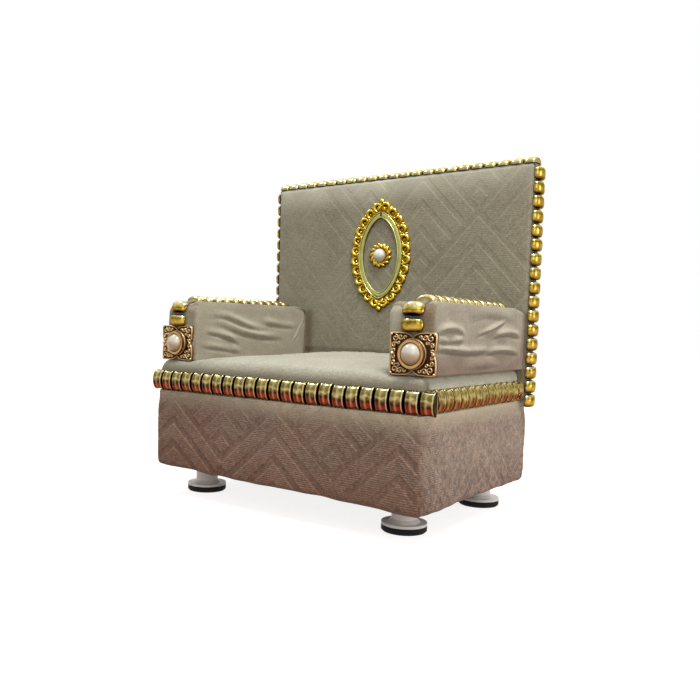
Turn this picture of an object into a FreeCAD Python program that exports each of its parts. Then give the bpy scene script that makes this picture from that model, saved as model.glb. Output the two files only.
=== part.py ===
"""A small padded throne for a household shrine: box base, crowned seat, two arms,
an upright back, beaded gold trim, brooches with pearls and four round feet.

Millimetres, +Z up. The origin is under the middle of the throne, on the floor.
The throne faces -Y, and the sitter's left arm rest lies at +X.
"""
import FreeCAD
import Part
import math
import os
import PartDesign
import Sketcher

Vector = FreeCAD.Vector
Rotation = FreeCAD.Rotation

SIZES = {
    # Base box and the fabric round it
    "base_width": 174.8,
    "base_depth": 125.6,
    "base_lift": 16.2,
    "base_height": 45.8,
    "base_corner_radius": 3.6,
    "base_lower_radius": 3.5,
    "cover_thickness": 3.0,
    "board_thickness": 4.0,
    "glue_block_side": 10.0,
    "cover_turn_under": 8.0,
    "lining_thickness": 1.0,
    "piece_clearance": 0.2,
    # Seat
    "seat_board_thickness": 6.0,
    "seat_edge_height": 17.0,
    "seat_edge_radius": 7.0,
    "seat_front_crown": 2.3,
    "seat_rear_crown": 5.5,
    # Arms
    "arm_width": 24.0,
    "arm_height": 34.0,
    "arm_overhang": 1.6,
    "right_arm_inset": 3.2,
    "arm_setback": 5.0,
    "arm_front_radius": 6.5,
    "arm_edge_radius": 2.4,
    # Back
    "back_overhang": 3.2,
    "back_height": 132.8,
    "back_depth": 12.6,
    "back_board_thickness": 8.0,
    "back_lining_thickness": 2.1,
    "back_edge_padding": 2.5,
    "back_edge_radius": 1.8,
    # Beaded trim
    "bead_pitch": 8.0,
    "bead_length": 6.7,
    "bead_width": 11.4,
    "bead_height": 3.7,
    "bead_rounding": 0.9,
    "tape_width": 9.0,
    "tape_thickness": 0.7,
    "front_trim_shift": 3.6,
    "arm_bead_length": 6.2,
    "arm_bend_tilt": 27.0,
    "arm_trim_outset": 1.5,
    "arm_trim_front_gap": 10.0,
    "arm_trim_rear_gap": 9.0,
    "back_trim_drop": 3.5,
    # Oval brooch on the back, with its rosette
    "oval_height": 71.5,
    "oval_width": 43.6,
    "oval_opening_height": 47.0,
    "oval_opening_width": 25.4,
    "oval_offset": -5.8,
    "oval_level": 147.0,
    "oval_thickness": 2.6,
    "oval_band_thickness": 3.2,
    "oval_band_width": 3.0,
    "oval_lobe_radius": 3.1,
    "oval_knob_radius": 2.2,
    "rosette_diameter": 16.2,
    "rosette_thickness": 2.2,
    "rosette_petal_radius": 2.1,
    "rosette_pearl_diameter": 8.6,
    # Square brooches on the arm fronts
    "square_width": 24.4,
    "square_height": 20.0,
    "square_thickness": 2.0,
    "square_notch": 2.2,
    "square_scroll_radius": 2.4,
    "square_lift": 0.4,
    "square_outset": 2.3,
    "bezel_wall": 1.4,
    "bezel_height": 1.6,
    "arm_pearl_diameter": 10.4,
    # Feet and screws
    "foot_inset_side": 18.6,
    "foot_inset_front": 27.0,
    "foot_inset_rear": 18.1,
    "front_feet_shift": 3.8,
    "foot_flange_diameter": 23.0,
    "foot_flange_thickness": 1.3,
    "foot_stem_diameter": 13.0,
    "foot_fillet": 1.6,
    "pad_thickness": 3.4,
    "pad_edge_radius": 0.8,
    "pad_hole_diameter": 10.0,
    "screw_diameter": 3.5,
    "screw_head_diameter": 6.5,
    "screw_head_thickness": 2.0,
    "foot_screw_bite": 3.0,
    "upper_screw_bite": 12.0,
    "arm_screw_inset": 22.0,
    "back_screw_inset": 30.6,
}

# Where each level, face and centre line lies, worked out from the sizes above
PLACES = {
    "front": "(sizes.bead_height + sizes.tape_thickness - sizes.base_depth) / 2",
    "rear": "places.front + sizes.base_depth",
    "base_top": "sizes.base_lift + sizes.base_height",
    "box_bottom": "sizes.base_lift + sizes.cover_thickness",
    "box_height": "sizes.base_height - sizes.cover_thickness",
    "box_width": "sizes.base_width - 2 * sizes.cover_thickness",
    "box_depth": "sizes.base_depth - 2 * sizes.cover_thickness",
    "box_front": "places.front + sizes.cover_thickness",
    "box_rear": "places.rear - sizes.cover_thickness",
    "wall_height": "places.box_height - 2 * sizes.board_thickness",
    "wall_bottom": "places.box_bottom + sizes.board_thickness",
    "lining_bottom": "places.box_bottom - sizes.lining_thickness",
    "back_width": "sizes.base_width + 2 * sizes.back_overhang",
    "back_screw_x": "places.back_width / 2 - sizes.back_screw_inset",
    "back_front": "places.rear - sizes.back_depth",
    "back_bottom": "places.base_top",
    "back_top": "places.back_bottom + sizes.back_height",
    "back_middle": "places.rear - sizes.back_depth / 2",
    "back_cover_depth": "sizes.back_depth - sizes.back_lining_thickness",
    "back_cover_rear": "places.rear - sizes.back_lining_thickness",
    "board_middle": "places.back_cover_rear - sizes.back_board_thickness / 2",
    "seat_depth": "places.back_front - places.front",
    "seat_edge_top": "places.base_top + sizes.seat_edge_height",
    "seat_board_depth": "places.back_front - places.box_front",
    "arm_middle": "sizes.base_width / 2 + sizes.arm_overhang - sizes.arm_width / 2",
    "right_arm_middle": "places.arm_middle - sizes.right_arm_inset",
    "arm_inner_x": "places.right_arm_middle - sizes.arm_width / 2",
    "arm_front": "places.front + sizes.arm_setback",
    "arm_depth": "places.back_front - places.arm_front",
    "arm_top": "places.seat_edge_top + sizes.arm_height",
    "arm_core_height": "sizes.arm_height - sizes.cover_thickness",
    "trim_middle": "places.base_top + sizes.bead_width / 2",
    "trim_half_run": "floor(places.back_width / sizes.bead_pitch / 2) * sizes.bead_pitch",
    "side_trim_room": "places.seat_depth - sizes.bead_length",
    "side_trim_run": "floor(places.side_trim_room / sizes.bead_pitch) * sizes.bead_pitch",
    "back_side_run": "floor(sizes.back_height / sizes.bead_pitch) * sizes.bead_pitch",
    "arm_trim_start": "places.arm_front + sizes.arm_trim_front_gap",
    "arm_trim_end": "places.back_front - sizes.arm_trim_rear_gap",
    "arm_trim_room": "places.arm_trim_end - places.arm_trim_start - sizes.bead_length",
    "arm_trim_run": "floor(places.arm_trim_room / sizes.bead_pitch) * sizes.bead_pitch",
    "square_bottom": "places.seat_edge_top + sizes.square_lift",
    "square_middle": "places.square_bottom + sizes.square_height / 2",
    "square_face": "places.arm_front - sizes.square_thickness",
    "arm_bead_bottom": "places.square_bottom + sizes.square_height + sizes.piece_clearance",
    "arm_bend_reach": "sizes.arm_front_radius + sizes.tape_thickness",
    "bend_middle_y": "places.arm_front + sizes.arm_front_radius",
    "bend_middle_z": "places.arm_top - sizes.arm_front_radius",
    "arm_bend_y": "places.bend_middle_y - places.arm_bend_reach * cos(sizes.arm_bend_tilt)",
    "arm_bend_z": "places.bend_middle_z + places.arm_bend_reach * sin(sizes.arm_bend_tilt)",
    "arm_bend_start_y": "places.arm_bend_y - sizes.arm_bead_length / 2 * sin(sizes.arm_bend_tilt)",
    "arm_bend_start_z": "places.arm_bend_z - sizes.arm_bead_length / 2 * cos(sizes.arm_bend_tilt)",
    "foot_x": "sizes.base_width / 2 - sizes.foot_inset_side",
    "foot_front_y": "places.front + sizes.foot_inset_front",
    "foot_rear_y": "places.rear - sizes.foot_inset_rear",
    "front_right_foot_x": "-places.foot_x - sizes.front_feet_shift",
    "front_left_foot_x": "places.foot_x - sizes.front_feet_shift",
    "hole_diameter": "sizes.screw_diameter + 2 * sizes.piece_clearance",
    "arm_screw_front_y": "places.arm_front + sizes.arm_screw_inset",
    "arm_screw_rear_y": "places.back_front - sizes.arm_screw_inset",
    "head_hole_diameter": "sizes.screw_head_diameter + 2 * sizes.piece_clearance",
    "top_board_bottom": "places.base_top - sizes.board_thickness",
    "foot_head_level": "sizes.pad_thickness - sizes.screw_head_thickness",
}

document = FreeCAD.newDocument("throne")
sheet = document.addObject("Spreadsheet::Sheet", "sizes")
for row, (alias, size) in enumerate(SIZES.items(), start=1):
    sheet.set("A%d" % row, alias)
    sheet.set("B%d" % row, str(size))
    sheet.setAlias("B%d" % row, alias)
document.recompute()
places = document.addObject("App::VarSet", "places")
for name in PLACES:
    places.addProperty("App::PropertyFloat", name)
for name, expression in PLACES.items():
    places.setExpression(name, expression.replace("places.", ""))
    document.recompute()

parts = []


def size(name):
    """The number that the sheet or the list of places holds under this name."""
    return float(getattr(sheet if name in SIZES else places, name))


def keep(item, label):
    """Give a sub-part its name and list it for writing."""
    item.Label = label
    parts.append(item)
    return item


def place(item, x="0", y="0", z="0", rotation=None):
    """Turn an object and bind its position to the sheet."""
    if rotation is not None:
        item.Placement = FreeCAD.Placement(Vector(0, 0, 0), rotation)
    for axis, expression in zip("xyz", (x, y, z)):
        item.setExpression(".Placement.Base." + axis, expression)


def box(label, corner, lengths):
    """A plain board, block or tape as a Part box."""
    item = document.addObject("Part::Box", label)
    for name, expression in zip(("Length", "Width", "Height"), lengths):
        item.setExpression(name, expression)
    place(item, *corner)
    return keep(item, label)


def body(label):
    item = document.addObject("PartDesign::Body", label)
    item.AllowCompound = True
    return keep(item, label)


def sketch_on(owner, role, label):
    """An empty sketch on one of the body's own origin planes."""
    item = owner.newObject("Sketcher::SketchObject", label)
    plane = [o for o in owner.Origin.OriginFeatures if o.Role == role][0]
    item.AttachmentSupport = [(plane, "")]
    item.MapMode = "FlatFace"
    return item


def pin(sketch, geometry, corner, position, label):
    """Fix one point of a sketch at a position given by two expressions."""
    drawn = sketch.getPoint(geometry, corner)
    for axis, expression, start in zip("XY", position, drawn):
        index = sketch.addConstraint(Sketcher.Constraint("Distance" + axis, -1, 1, geometry, corner, start))
        sketch.renameConstraint(index, label + axis)
        sketch.setExpression("Constraints." + label + axis, expression)


def outline(sketch, points):
    """A closed run of straight edges through points given by expressions."""
    first = sketch.GeometryCount
    count = len(points)
    for index in range(count):
        here = 2 * math.pi * index / count
        there = 2 * math.pi * (index + 1) / count
        start = Vector(math.cos(here), math.sin(here), 0)
        end = Vector(math.cos(there), math.sin(there), 0)
        sketch.addGeometry(Part.LineSegment(start, end))
    for index in range(count):
        after = first + (index + 1) % count
        sketch.addConstraint(Sketcher.Constraint("Coincident", first + index, 2, after, 1))
    for index, position in enumerate(points):
        pin(sketch, first + index, 1, position, "corner%d" % (first + index))


def rectangle(sketch, width, depth):
    """A rectangle of two expressions about the sketch's origin."""
    right, top = "(%s) / 2" % width, "(%s) / 2" % depth
    left, bottom = "-" + right, "-" + top
    outline(sketch, [(left, bottom), (right, bottom), (right, top), (left, top)])


def circle(sketch, position, diameter):
    index = sketch.addGeometry(Part.Circle(Vector(1, 1, 0), Vector(0, 0, 1), 1))
    pin(sketch, index, 3, position, "centre%d" % index)
    bound = sketch.addConstraint(Sketcher.Constraint("Diameter", index, 2.0))
    sketch.renameConstraint(bound, "across%d" % index)
    sketch.setExpression("Constraints.across%d" % index, diameter)


def pad(owner, sketch, length, reverse=False):
    item = owner.newObject("PartDesign::Pad", "pad")
    item.Profile = sketch
    item.Reversed = reverse
    item.setExpression("Length", length)
    document.recompute()
    return item


def pocket(owner, sketch, length, reverse=False):
    """A cut that must take material away, or the build stops."""
    before = owner.Shape.Volume
    item = owner.newObject("PartDesign::Pocket", "pocket")
    item.Profile = sketch
    item.Reversed = reverse
    item.setExpression("Length", length)
    document.recompute()
    if not item.Shape.Volume < before:
        raise RuntimeError(owner.Label + ": a pocket cuts nothing")
    return item


def round_edges(owner, choose, radius):
    """Fillet the edges of the body's shape that a test on their middle chooses."""
    base = owner.Tip
    names = []
    for index, edge in enumerate(base.Shape.Edges, start=1):
        if choose(edge):
            names.append("Edge%d" % index)
    item = owner.newObject("PartDesign::Fillet", "rounding")
    item.Base = (base, names)
    item.setExpression("Radius", radius)
    document.recompute()
    return item


def upright(edge):
    ends = [vertex.Point for vertex in edge.Vertexes]
    return len(ends) == 2 and (ends[0] - ends[1]).cross(Vector(0, 0, 1)).Length < edge.Length / 1000


def edge_middle(edge):
    return edge.valueAt((edge.FirstParameter + edge.LastParameter) / 2)


def drill(owner, holes, middle_y, diameter, depth):
    """Round holes up into a board from its underside."""
    drilled = sketch_on(owner, "XY_Plane", "holes")
    for x, y in holes:
        circle(drilled, (x, "%s - (%s)" % (y, middle_y)), diameter)
    pocket(owner, drilled, depth, reverse=True)


def board(label, width, depth, thickness, position, holes=()):
    """A level board about its own middle, with screw holes given in the throne's own places."""
    item = body(label)
    face = sketch_on(item, "XY_Plane", "face")
    rectangle(face, width, depth)
    pad(item, face, thickness)
    if holes:
        drill(item, holes, position[1], "places.hole_diameter", thickness)
    place(item, *position)
    return item


def feature(label, shape):
    """A sub-part whose shape is worked out below from the sheet's sizes."""
    item = document.addObject("Part::Feature", label)
    item.Shape = shape
    return keep(item, label)


FOOT_SPOTS = {
    "front_right": ("places.front_right_foot_x", "places.foot_front_y"),
    "front_left": ("places.front_left_foot_x", "places.foot_front_y"),
    "rear_right": ("-places.foot_x", "places.foot_rear_y"),
    "rear_left": ("places.foot_x", "places.foot_rear_y"),
}
ARM_MIDDLES = {"right": "-places.right_arm_middle", "left": "places.arm_middle"}
ARM_SCREW_SPOTS = [
    (middle, row)
    for middle in ARM_MIDDLES.values()
    for row in ("places.arm_screw_front_y", "places.arm_screw_rear_y")
]
BACK_SCREW_SPOTS = [
    (sign + "places.back_screw_x", "places.board_middle") for sign in ("-", "0 * ", "")
]

BOX_MIDDLE = "(places.box_front + places.box_rear) / 2"


def base_box():
    """Six thin boards round an empty box, with glue blocks in its corners."""
    board("base_bottom_board", "places.box_width", "places.box_depth", "sizes.board_thickness",
          ("0", BOX_MIDDLE, "places.box_bottom"), list(FOOT_SPOTS.values()))
    top = board("base_top_board", "places.box_width", "places.box_depth", "sizes.board_thickness",
                ("0", BOX_MIDDLE, "places.top_board_bottom"), ARM_SCREW_SPOTS + BACK_SCREW_SPOTS)
    drill(top, ARM_SCREW_SPOTS + BACK_SCREW_SPOTS, BOX_MIDDLE, "places.head_hole_diameter",
          "sizes.screw_head_thickness")
    long_wall = ("places.box_width", "sizes.board_thickness", "places.wall_height")
    box("base_front_board", ("-places.box_width / 2", "places.box_front", "places.wall_bottom"), long_wall)
    box("base_rear_board",
        ("-places.box_width / 2", "places.box_rear - sizes.board_thickness", "places.wall_bottom"), long_wall)
    side_depth = "places.box_depth - 2 * sizes.board_thickness"
    side_wall = ("sizes.board_thickness", side_depth, "places.wall_height")
    side_front = "places.box_front + sizes.board_thickness"
    box("base_right_board", ("-places.box_width / 2", side_front, "places.wall_bottom"), side_wall)
    box("base_left_board",
        ("places.box_width / 2 - sizes.board_thickness", side_front, "places.wall_bottom"), side_wall)
    blocks = body("corner_glue_blocks")
    face = sketch_on(blocks, "XY_Plane", "ends")
    reach = "(places.box_width / 2 - sizes.board_thickness)"
    inner = "(places.box_width / 2 - sizes.board_thickness - sizes.glue_block_side)"
    deep = "(places.box_depth / 2 - sizes.board_thickness)"
    near = "(places.box_depth / 2 - sizes.board_thickness - sizes.glue_block_side)"
    for x_sign in ("-", ""):
        for y_sign in ("-", ""):
            outline(face, [(x_sign + inner, y_sign + near), (x_sign + reach, y_sign + near),
                           (x_sign + reach, y_sign + deep), (x_sign + inner, y_sign + deep)])
    pad(blocks, face, "places.wall_height")
    place(blocks, "0", BOX_MIDDLE, "places.wall_bottom")


def base_cover():
    """The padded fabric round the base, turned under its lower edges."""
    cover = body("base_cover")
    face = sketch_on(cover, "XY_Plane", "outside")
    rectangle(face, "sizes.base_width", "sizes.base_depth")
    pad(cover, face, "sizes.base_height")
    round_edges(cover, upright, "sizes.base_corner_radius")
    round_edges(cover, lambda edge: abs(edge_middle(edge).z) < 0.001 * size("base_height"),
                "sizes.base_lower_radius")
    window = sketch_on(cover, "XY_Plane", "underside")
    rectangle(window, "sizes.base_width - 2 * sizes.cover_turn_under",
              "sizes.base_depth - 2 * sizes.cover_turn_under")
    pocket(cover, window, "sizes.base_height", reverse=True)
    hollow = sketch_on(cover, "XY_Plane", "inside")
    rectangle(hollow, "places.box_width", "places.box_depth")
    hollow.setExpression(".AttachmentOffset.Base.z", "sizes.cover_thickness")
    document.recompute()
    pocket(cover, hollow, "sizes.base_height", reverse=True)
    place(cover, "0", BOX_MIDDLE, "sizes.base_lift")
    board("bottom_lining", "sizes.base_width - 2 * sizes.cover_turn_under",
          "sizes.base_depth - 2 * sizes.cover_turn_under", "sizes.lining_thickness",
          ("0", BOX_MIDDLE, "places.lining_bottom"), list(FOOT_SPOTS.values()))


def crowned_section(y, edge_top, crown):
    """One cross-section of the seat: upright sides, rounded shoulders, flats under the arms, a crown."""
    half = size("base_width") / 2
    radius = size("seat_edge_radius")
    floor_level = size("base_top")
    arm_line = size("arm_inner_x")
    corner = radius * math.sin(math.radians(45))

    def side(sign):
        low = Vector(sign * half, y, edge_top - radius)
        turn = Vector(sign * (half - radius + corner), y, edge_top - radius + corner)
        shoulder = Vector(sign * (half - radius), y, edge_top)
        inner = Vector(sign * arm_line, y, edge_top)
        return low, turn, shoulder, inner

    low_r, turn_r, shoulder_r, inner_r = side(1)
    low_l, turn_l, shoulder_l, inner_l = side(-1)
    foot_r = Vector(half, y, floor_level)
    foot_l = Vector(-half, y, floor_level)
    return Part.Wire([
        Part.makeLine(foot_l, foot_r),
        Part.makeLine(foot_r, low_r),
        Part.Arc(low_r, turn_r, shoulder_r).toShape(),
        Part.makeLine(shoulder_r, inner_r),
        Part.Arc(inner_r, Vector(0, y, edge_top + crown), inner_l).toShape(),
        Part.makeLine(inner_l, shoulder_l),
        Part.Arc(shoulder_l, turn_l, low_l).toShape(),
        Part.makeLine(low_l, foot_l),
    ])


def seat():
    """The seat board and the crowned cushion that wraps its top and edges."""
    board("seat_board", "places.box_width", "places.seat_board_depth", "sizes.seat_board_thickness",
          ("0", "(places.box_front + places.back_front) / 2", "places.base_top"), ARM_SCREW_SPOTS)
    front, back = size("front"), size("back_front")
    drop = size("seat_edge_radius")
    top = size("seat_edge_top")
    front_crown, rear_crown = size("seat_front_crown"), size("seat_rear_crown")
    rounding_shares = (0.0, 0.04, 0.14, 0.3, 0.5, 0.75, 1.0)
    length_shares = (0.15, 0.35, 0.65, 1.0)
    wires = []
    for share in rounding_shares:
        fall = drop * (1 - math.sqrt(1 - (1 - share) ** 2))
        crown = front_crown * (0.4 + 0.6 * share)
        wires.append(crowned_section(front + share * drop, top - fall, crown))
    for share in length_shares:
        crown = front_crown + (rear_crown - front_crown) * math.sqrt(share)
        wires.append(crowned_section(front + drop + share * (back - front - drop), top, crown))
    cushion = Part.makeLoft(wires, True, True)
    width = size("box_width")
    hollow = Part.makeBox(width, back - size("box_front"), size("seat_board_thickness"),
                          Vector(-width / 2, size("box_front"), size("base_top")))
    cushion = cushion.cut(hollow)
    for middle in (-size("right_arm_middle"), size("arm_middle")):
        for row in ("arm_screw_front_y", "arm_screw_rear_y"):
            spot = Vector(middle, size(row), size("base_top"))
            cushion = cushion.cut(Part.makeCylinder(size("hole_diameter") / 2, size("arm_height"), spot))
    feature("seat_cushion", cushion)


def back_rest():
    """The upright board, the padded fabric over its front and edges, and the lining behind."""
    inner_width = "(places.back_width - 2 * sizes.back_edge_padding)"
    inner_height = "(sizes.back_height - sizes.back_edge_padding)"
    core = body("back_board")
    face = sketch_on(core, "XY_Plane", "foot")
    rectangle(face, inner_width, "sizes.back_board_thickness")
    pad(core, face, inner_height)
    bores = sketch_on(core, "XY_Plane", "bores")
    for x, _ in BACK_SCREW_SPOTS:
        circle(bores, (x, "0 * sizes.screw_diameter"), "places.hole_diameter")
    pocket(core, bores, "sizes.upper_screw_bite + sizes.piece_clearance", reverse=True)
    place(core, "0", "places.board_middle", "places.back_bottom")

    cover = body("back_cover")
    front_face = sketch_on(cover, "XY_Plane", "outside")
    cover_depth = "places.back_cover_depth"
    rectangle(front_face, "places.back_width", cover_depth)
    pad(cover, front_face, "sizes.back_height")

    def front_or_side(edge):
        middle = edge_middle(edge)
        at_front = middle.y < (0.001 - 0.5) * size("back_cover_depth")
        above = middle.z > 0.001 * size("back_height")
        return at_front and above

    round_edges(cover, front_or_side, "sizes.back_edge_radius")
    hollow = sketch_on(cover, "XY_Plane", "inside")
    half = inner_width + " / 2"
    rear_edge = cover_depth + " / 2"
    front_edge = cover_depth + " / 2 - sizes.back_board_thickness"
    outline(hollow, [("-" + half, front_edge), (half, front_edge),
                     (half, rear_edge), ("-" + half, rear_edge)])
    pocket(cover, hollow, inner_height, reverse=True)
    place(cover, "0", "places.back_cover_rear - places.back_cover_depth / 2", "places.back_bottom")

    lining_inset = "sizes.back_edge_radius"
    low_corner = ("%s - places.back_width / 2" % lining_inset, "places.back_cover_rear", "places.back_bottom")
    lining_width = "places.back_width - 2 * %s" % lining_inset
    lining_height = "sizes.back_height - %s" % lining_inset
    box("back_lining", low_corner, (lining_width, "sizes.back_lining_thickness", lining_height))


def arm(side):
    """One arm: a wooden core under padded fabric."""
    middle = ARM_MIDDLES[side]
    core_width = "(sizes.arm_width - 2 * sizes.cover_thickness)"
    core_depth = "(places.arm_depth - 2 * sizes.cover_thickness)"
    along = "(places.arm_front + places.back_front) / 2"
    core = body(side + "_arm_core")
    face = sketch_on(core, "XY_Plane", "foot")
    rectangle(face, core_width, core_depth)
    pad(core, face, "places.arm_core_height")
    bores = sketch_on(core, "XY_Plane", "bores")
    for row in ("places.arm_screw_front_y", "places.arm_screw_rear_y"):
        circle(bores, ("0 * sizes.screw_diameter", "%s - %s" % (row, along)), "places.hole_diameter")
    pocket(core, bores, "sizes.upper_screw_bite + sizes.piece_clearance", reverse=True)
    place(core, middle, along, "places.seat_edge_top")

    cover = body(side + "_arm_cover")
    outside = sketch_on(cover, "XY_Plane", "outside")
    rectangle(outside, "sizes.arm_width", "places.arm_depth")
    pad(cover, outside, "sizes.arm_height")
    front_limit = (0.001 - 0.5) * size("arm_depth")
    top_limit = (1 - 0.001) * size("arm_height")
    rear_limit = (0.5 - 0.001) * size("arm_depth")

    def front_top(edge):
        middle_point = edge_middle(edge)
        return middle_point.z > top_limit and middle_point.y < front_limit

    def long_edges(edge):
        middle_point = edge_middle(edge)
        top_side = middle_point.z > top_limit and abs(middle_point.y) < rear_limit and abs(middle_point.x) > 0
        front_side = upright(edge) and middle_point.y < 0
        side_edge = abs(middle_point.x) > (0.5 - 0.001) * size("arm_width")
        return side_edge and (top_side or front_side)

    round_edges(cover, front_top, "sizes.arm_front_radius")
    round_edges(cover, long_edges, "sizes.arm_edge_radius")
    hollow = sketch_on(cover, "XY_Plane", "inside")
    rectangle(hollow, core_width, core_depth)
    pocket(cover, hollow, "places.arm_core_height", reverse=True)
    place(cover, middle, along, "places.seat_edge_top")


def bead(label, length):
    """One half-round bead along local +X, its flat back on local z = 0."""
    row = body(label)
    face = sketch_on(row, "YZ_Plane", "bead")
    half, height = "sizes.bead_width / 2", "sizes.bead_height"
    flat = face.addGeometry(Part.LineSegment(Vector(-2, 0, 0), Vector(2, 0, 0)))
    curve = face.addGeometry(Part.Arc(Vector(2, 0, 0), Vector(0, 1, 0), Vector(-2, 0, 0)))
    face.addConstraint(Sketcher.Constraint("Coincident", flat, 2, curve, 1))
    face.addConstraint(Sketcher.Constraint("Coincident", flat, 1, curve, 2))
    pin(face, flat, 1, ("-" + half, "0 * sizes.bead_width"), "left")
    pin(face, flat, 2, (half, "0 * sizes.bead_width"), "right")
    bend = face.addConstraint(Sketcher.Constraint("Radius", curve, 3.0))
    face.renameConstraint(bend, "bend")
    face.setExpression("Constraints.bend", "((%s)^2 + %s^2) / (2 * %s)" % (half, height, height))
    slice_pad = pad(row, face, length)
    upper = lambda edge: edge_middle(edge).z > 0.5 * size("bead_height")
    ends = round_edges(row, upper, "sizes.bead_rounding")
    return row, face, slice_pad, ends


def beads(label, run, length, pitch, origin, rotation):
    """A row of half-round beads from its first bead's near end."""
    row, face, slice_pad, ends = bead(label, length)
    pattern = row.newObject("PartDesign::LinearPattern", "row")
    pattern.Originals = [slice_pad, ends]
    pattern.Refine = False
    pattern.Direction = (face, ["N_Axis"])
    pattern.setExpression("Length", run)
    pattern.setExpression("Occurrences", "round((%s) / %s) + 1" % (run, pitch))
    row.Tip = pattern
    document.recompute()
    place(row, *origin, rotation=rotation)
    return row


def turned(along, outward):
    """The rotation that sends local +X along one direction and local +Z along another."""
    across = outward.cross(along)
    return Rotation(along, across, outward, "ZXY")


X, Y, Z = Vector(1, 0, 0), Vector(0, 1, 0), Vector(0, 0, 1)


def base_trim():
    """Beads on tape round the seat's front and two sides."""
    start = "-places.trim_half_run - sizes.bead_length / 2"
    run = "2 * places.trim_half_run"
    start = "(%s + sizes.front_trim_shift)" % start
    beads("front_beads", run, "sizes.bead_length", "sizes.bead_pitch",
          (start, "places.front - sizes.tape_thickness", "places.trim_middle"), turned(X, -Y))
    tape_bottom = "places.trim_middle - sizes.tape_width / 2"
    box("front_bead_tape", (start, "places.front - sizes.tape_thickness", tape_bottom),
        ("%s + sizes.bead_length" % run, "sizes.tape_thickness", "sizes.tape_width"))
    side_start = "places.front + sizes.piece_clearance"
    for side, sign, outward in (("right", "-", -X), ("left", "", X)):
        face = sign + "(sizes.base_width / 2 + sizes.tape_thickness)"
        beads(side + "_side_beads", "places.side_trim_run", "sizes.bead_length", "sizes.bead_pitch",
              (face, side_start, "places.trim_middle"), turned(Y, outward))
        low_x = "-sizes.base_width / 2 - sizes.tape_thickness" if sign else "sizes.base_width / 2"
        box(side + "_side_bead_tape", (low_x, side_start, tape_bottom),
            ("sizes.tape_thickness", "places.side_trim_run + sizes.bead_length", "sizes.tape_width"))


def back_trim():
    """Beads on tape over the back's top edge and down both its sides."""
    start = "-places.trim_half_run - sizes.bead_length / 2"
    run = "2 * places.trim_half_run"
    tape_front = "places.back_middle - sizes.tape_width / 2"
    beads("back_top_beads", run, "sizes.bead_length", "sizes.bead_pitch",
          (start, "places.back_middle", "places.back_top + sizes.tape_thickness"), turned(X, Z))
    box("back_top_bead_tape", ("-places.back_width / 2", tape_front, "places.back_top"),
        ("places.back_width", "sizes.tape_width", "sizes.tape_thickness"))
    bottom = "places.back_bottom - sizes.back_trim_drop"
    for side, sign, outward in (("right", "-", -X), ("left", "", X)):
        face = sign + "(places.back_width / 2 + sizes.tape_thickness)"
        beads("back_%s_beads" % side, "places.back_side_run", "sizes.bead_length", "sizes.bead_pitch",
              (face, "places.back_middle", bottom), turned(Z, outward))
        low_x = "-places.back_width / 2 - sizes.tape_thickness" if sign else "places.back_width / 2"
        box("back_%s_bead_tape" % side, (low_x, tape_front, bottom),
            ("sizes.tape_thickness", "sizes.tape_width", "places.back_top - (%s)" % bottom))


def outset_from_arm(side, sign, outset):
    """A place across the throne that lies further out than one arm's middle."""
    return "%s %s %s" % (ARM_MIDDLES[side], sign or "+", outset)


def arm_trim(side, sign):
    """Beads on tape along one arm's top, round its bend and down its front."""
    middle = outset_from_arm(side, sign, "sizes.arm_trim_outset")
    top_start = "places.arm_trim_start"
    beads(side + "_arm_top_beads", "places.arm_trim_run", "sizes.bead_length", "sizes.bead_pitch",
          (middle, top_start, "places.arm_top + sizes.tape_thickness"), turned(Y, Z))
    lower = bead(side + "_arm_front_bead", "sizes.arm_bead_length")[0]
    place(lower, middle, "places.arm_front - sizes.tape_thickness", "places.arm_bead_bottom",
          rotation=turned(Z, -Y))
    lean = math.radians(size("arm_bend_tilt"))
    rising = Vector(0, math.sin(lean), math.cos(lean))
    outward = Vector(0, -math.cos(lean), math.sin(lean))
    upper = bead(side + "_arm_bend_bead", "sizes.arm_bead_length")[0]
    place(upper, middle, "places.arm_bend_start_y", "places.arm_bend_start_z",
          rotation=turned(rising, outward))
    tape = body(side + "_arm_bead_tape")
    face = sketch_on(tape, "YZ_Plane", "bend")
    front = "(places.arm_front - sizes.tape_thickness)"
    over = "(places.arm_top + sizes.tape_thickness)"
    end = "(%s + places.arm_trim_run + sizes.bead_length)" % top_start
    outline(face, [(front, "places.arm_bead_bottom"), ("places.arm_front", "places.arm_bead_bottom"),
                   ("places.arm_front", "places.arm_top"), (end, "places.arm_top"),
                   (end, over), (front, over)])
    item = pad(tape, face, "sizes.tape_width")
    item.Midplane = True
    document.recompute()
    level = size("arm_top")
    nearby = size("tape_thickness") / 2

    def inner_bend(edge):
        middle_point = edge_middle(edge)
        return middle_point.distanceToPoint(Vector(0, size("arm_front"), level)) < nearby

    def outer_bend(edge):
        middle_point = edge_middle(edge)
        corner = Vector(0, size("arm_front") - size("tape_thickness"), level + size("tape_thickness"))
        return middle_point.distanceToPoint(corner) < nearby

    round_edges(tape, inner_bend, "sizes.arm_front_radius")
    round_edges(tape, outer_bend, "places.arm_bend_reach")
    place(tape, middle)


def almond_edge(width, height, sign):
    """One side of a pointed oval from its lower tip to its upper one: an ellipse drawn in at the tips."""
    steps, drawn_in = 16, 1.25
    points = []
    for step in range(1 - steps, steps):
        angle = math.pi / 2 * step / steps
        points.append(Vector(sign * width / 2 * math.cos(angle) ** drawn_in, 0, height / 2 * math.sin(angle)))
    points = [Vector(0, 0, -height / 2)] + points + [Vector(0, 0, height / 2)]
    curve = Part.BSplineCurve()
    curve.interpolate(points)
    return curve.toShape()


def almond(width, height, depth):
    """A pointed oval slab about its middle, standing on y = 0 towards -Y."""
    edges = [almond_edge(width, height, sign) for sign in (-1, 1)]
    return Part.Face(Part.Wire(Part.sortEdges(edges)[0])).extrude(Vector(0, -depth, 0))


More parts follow.
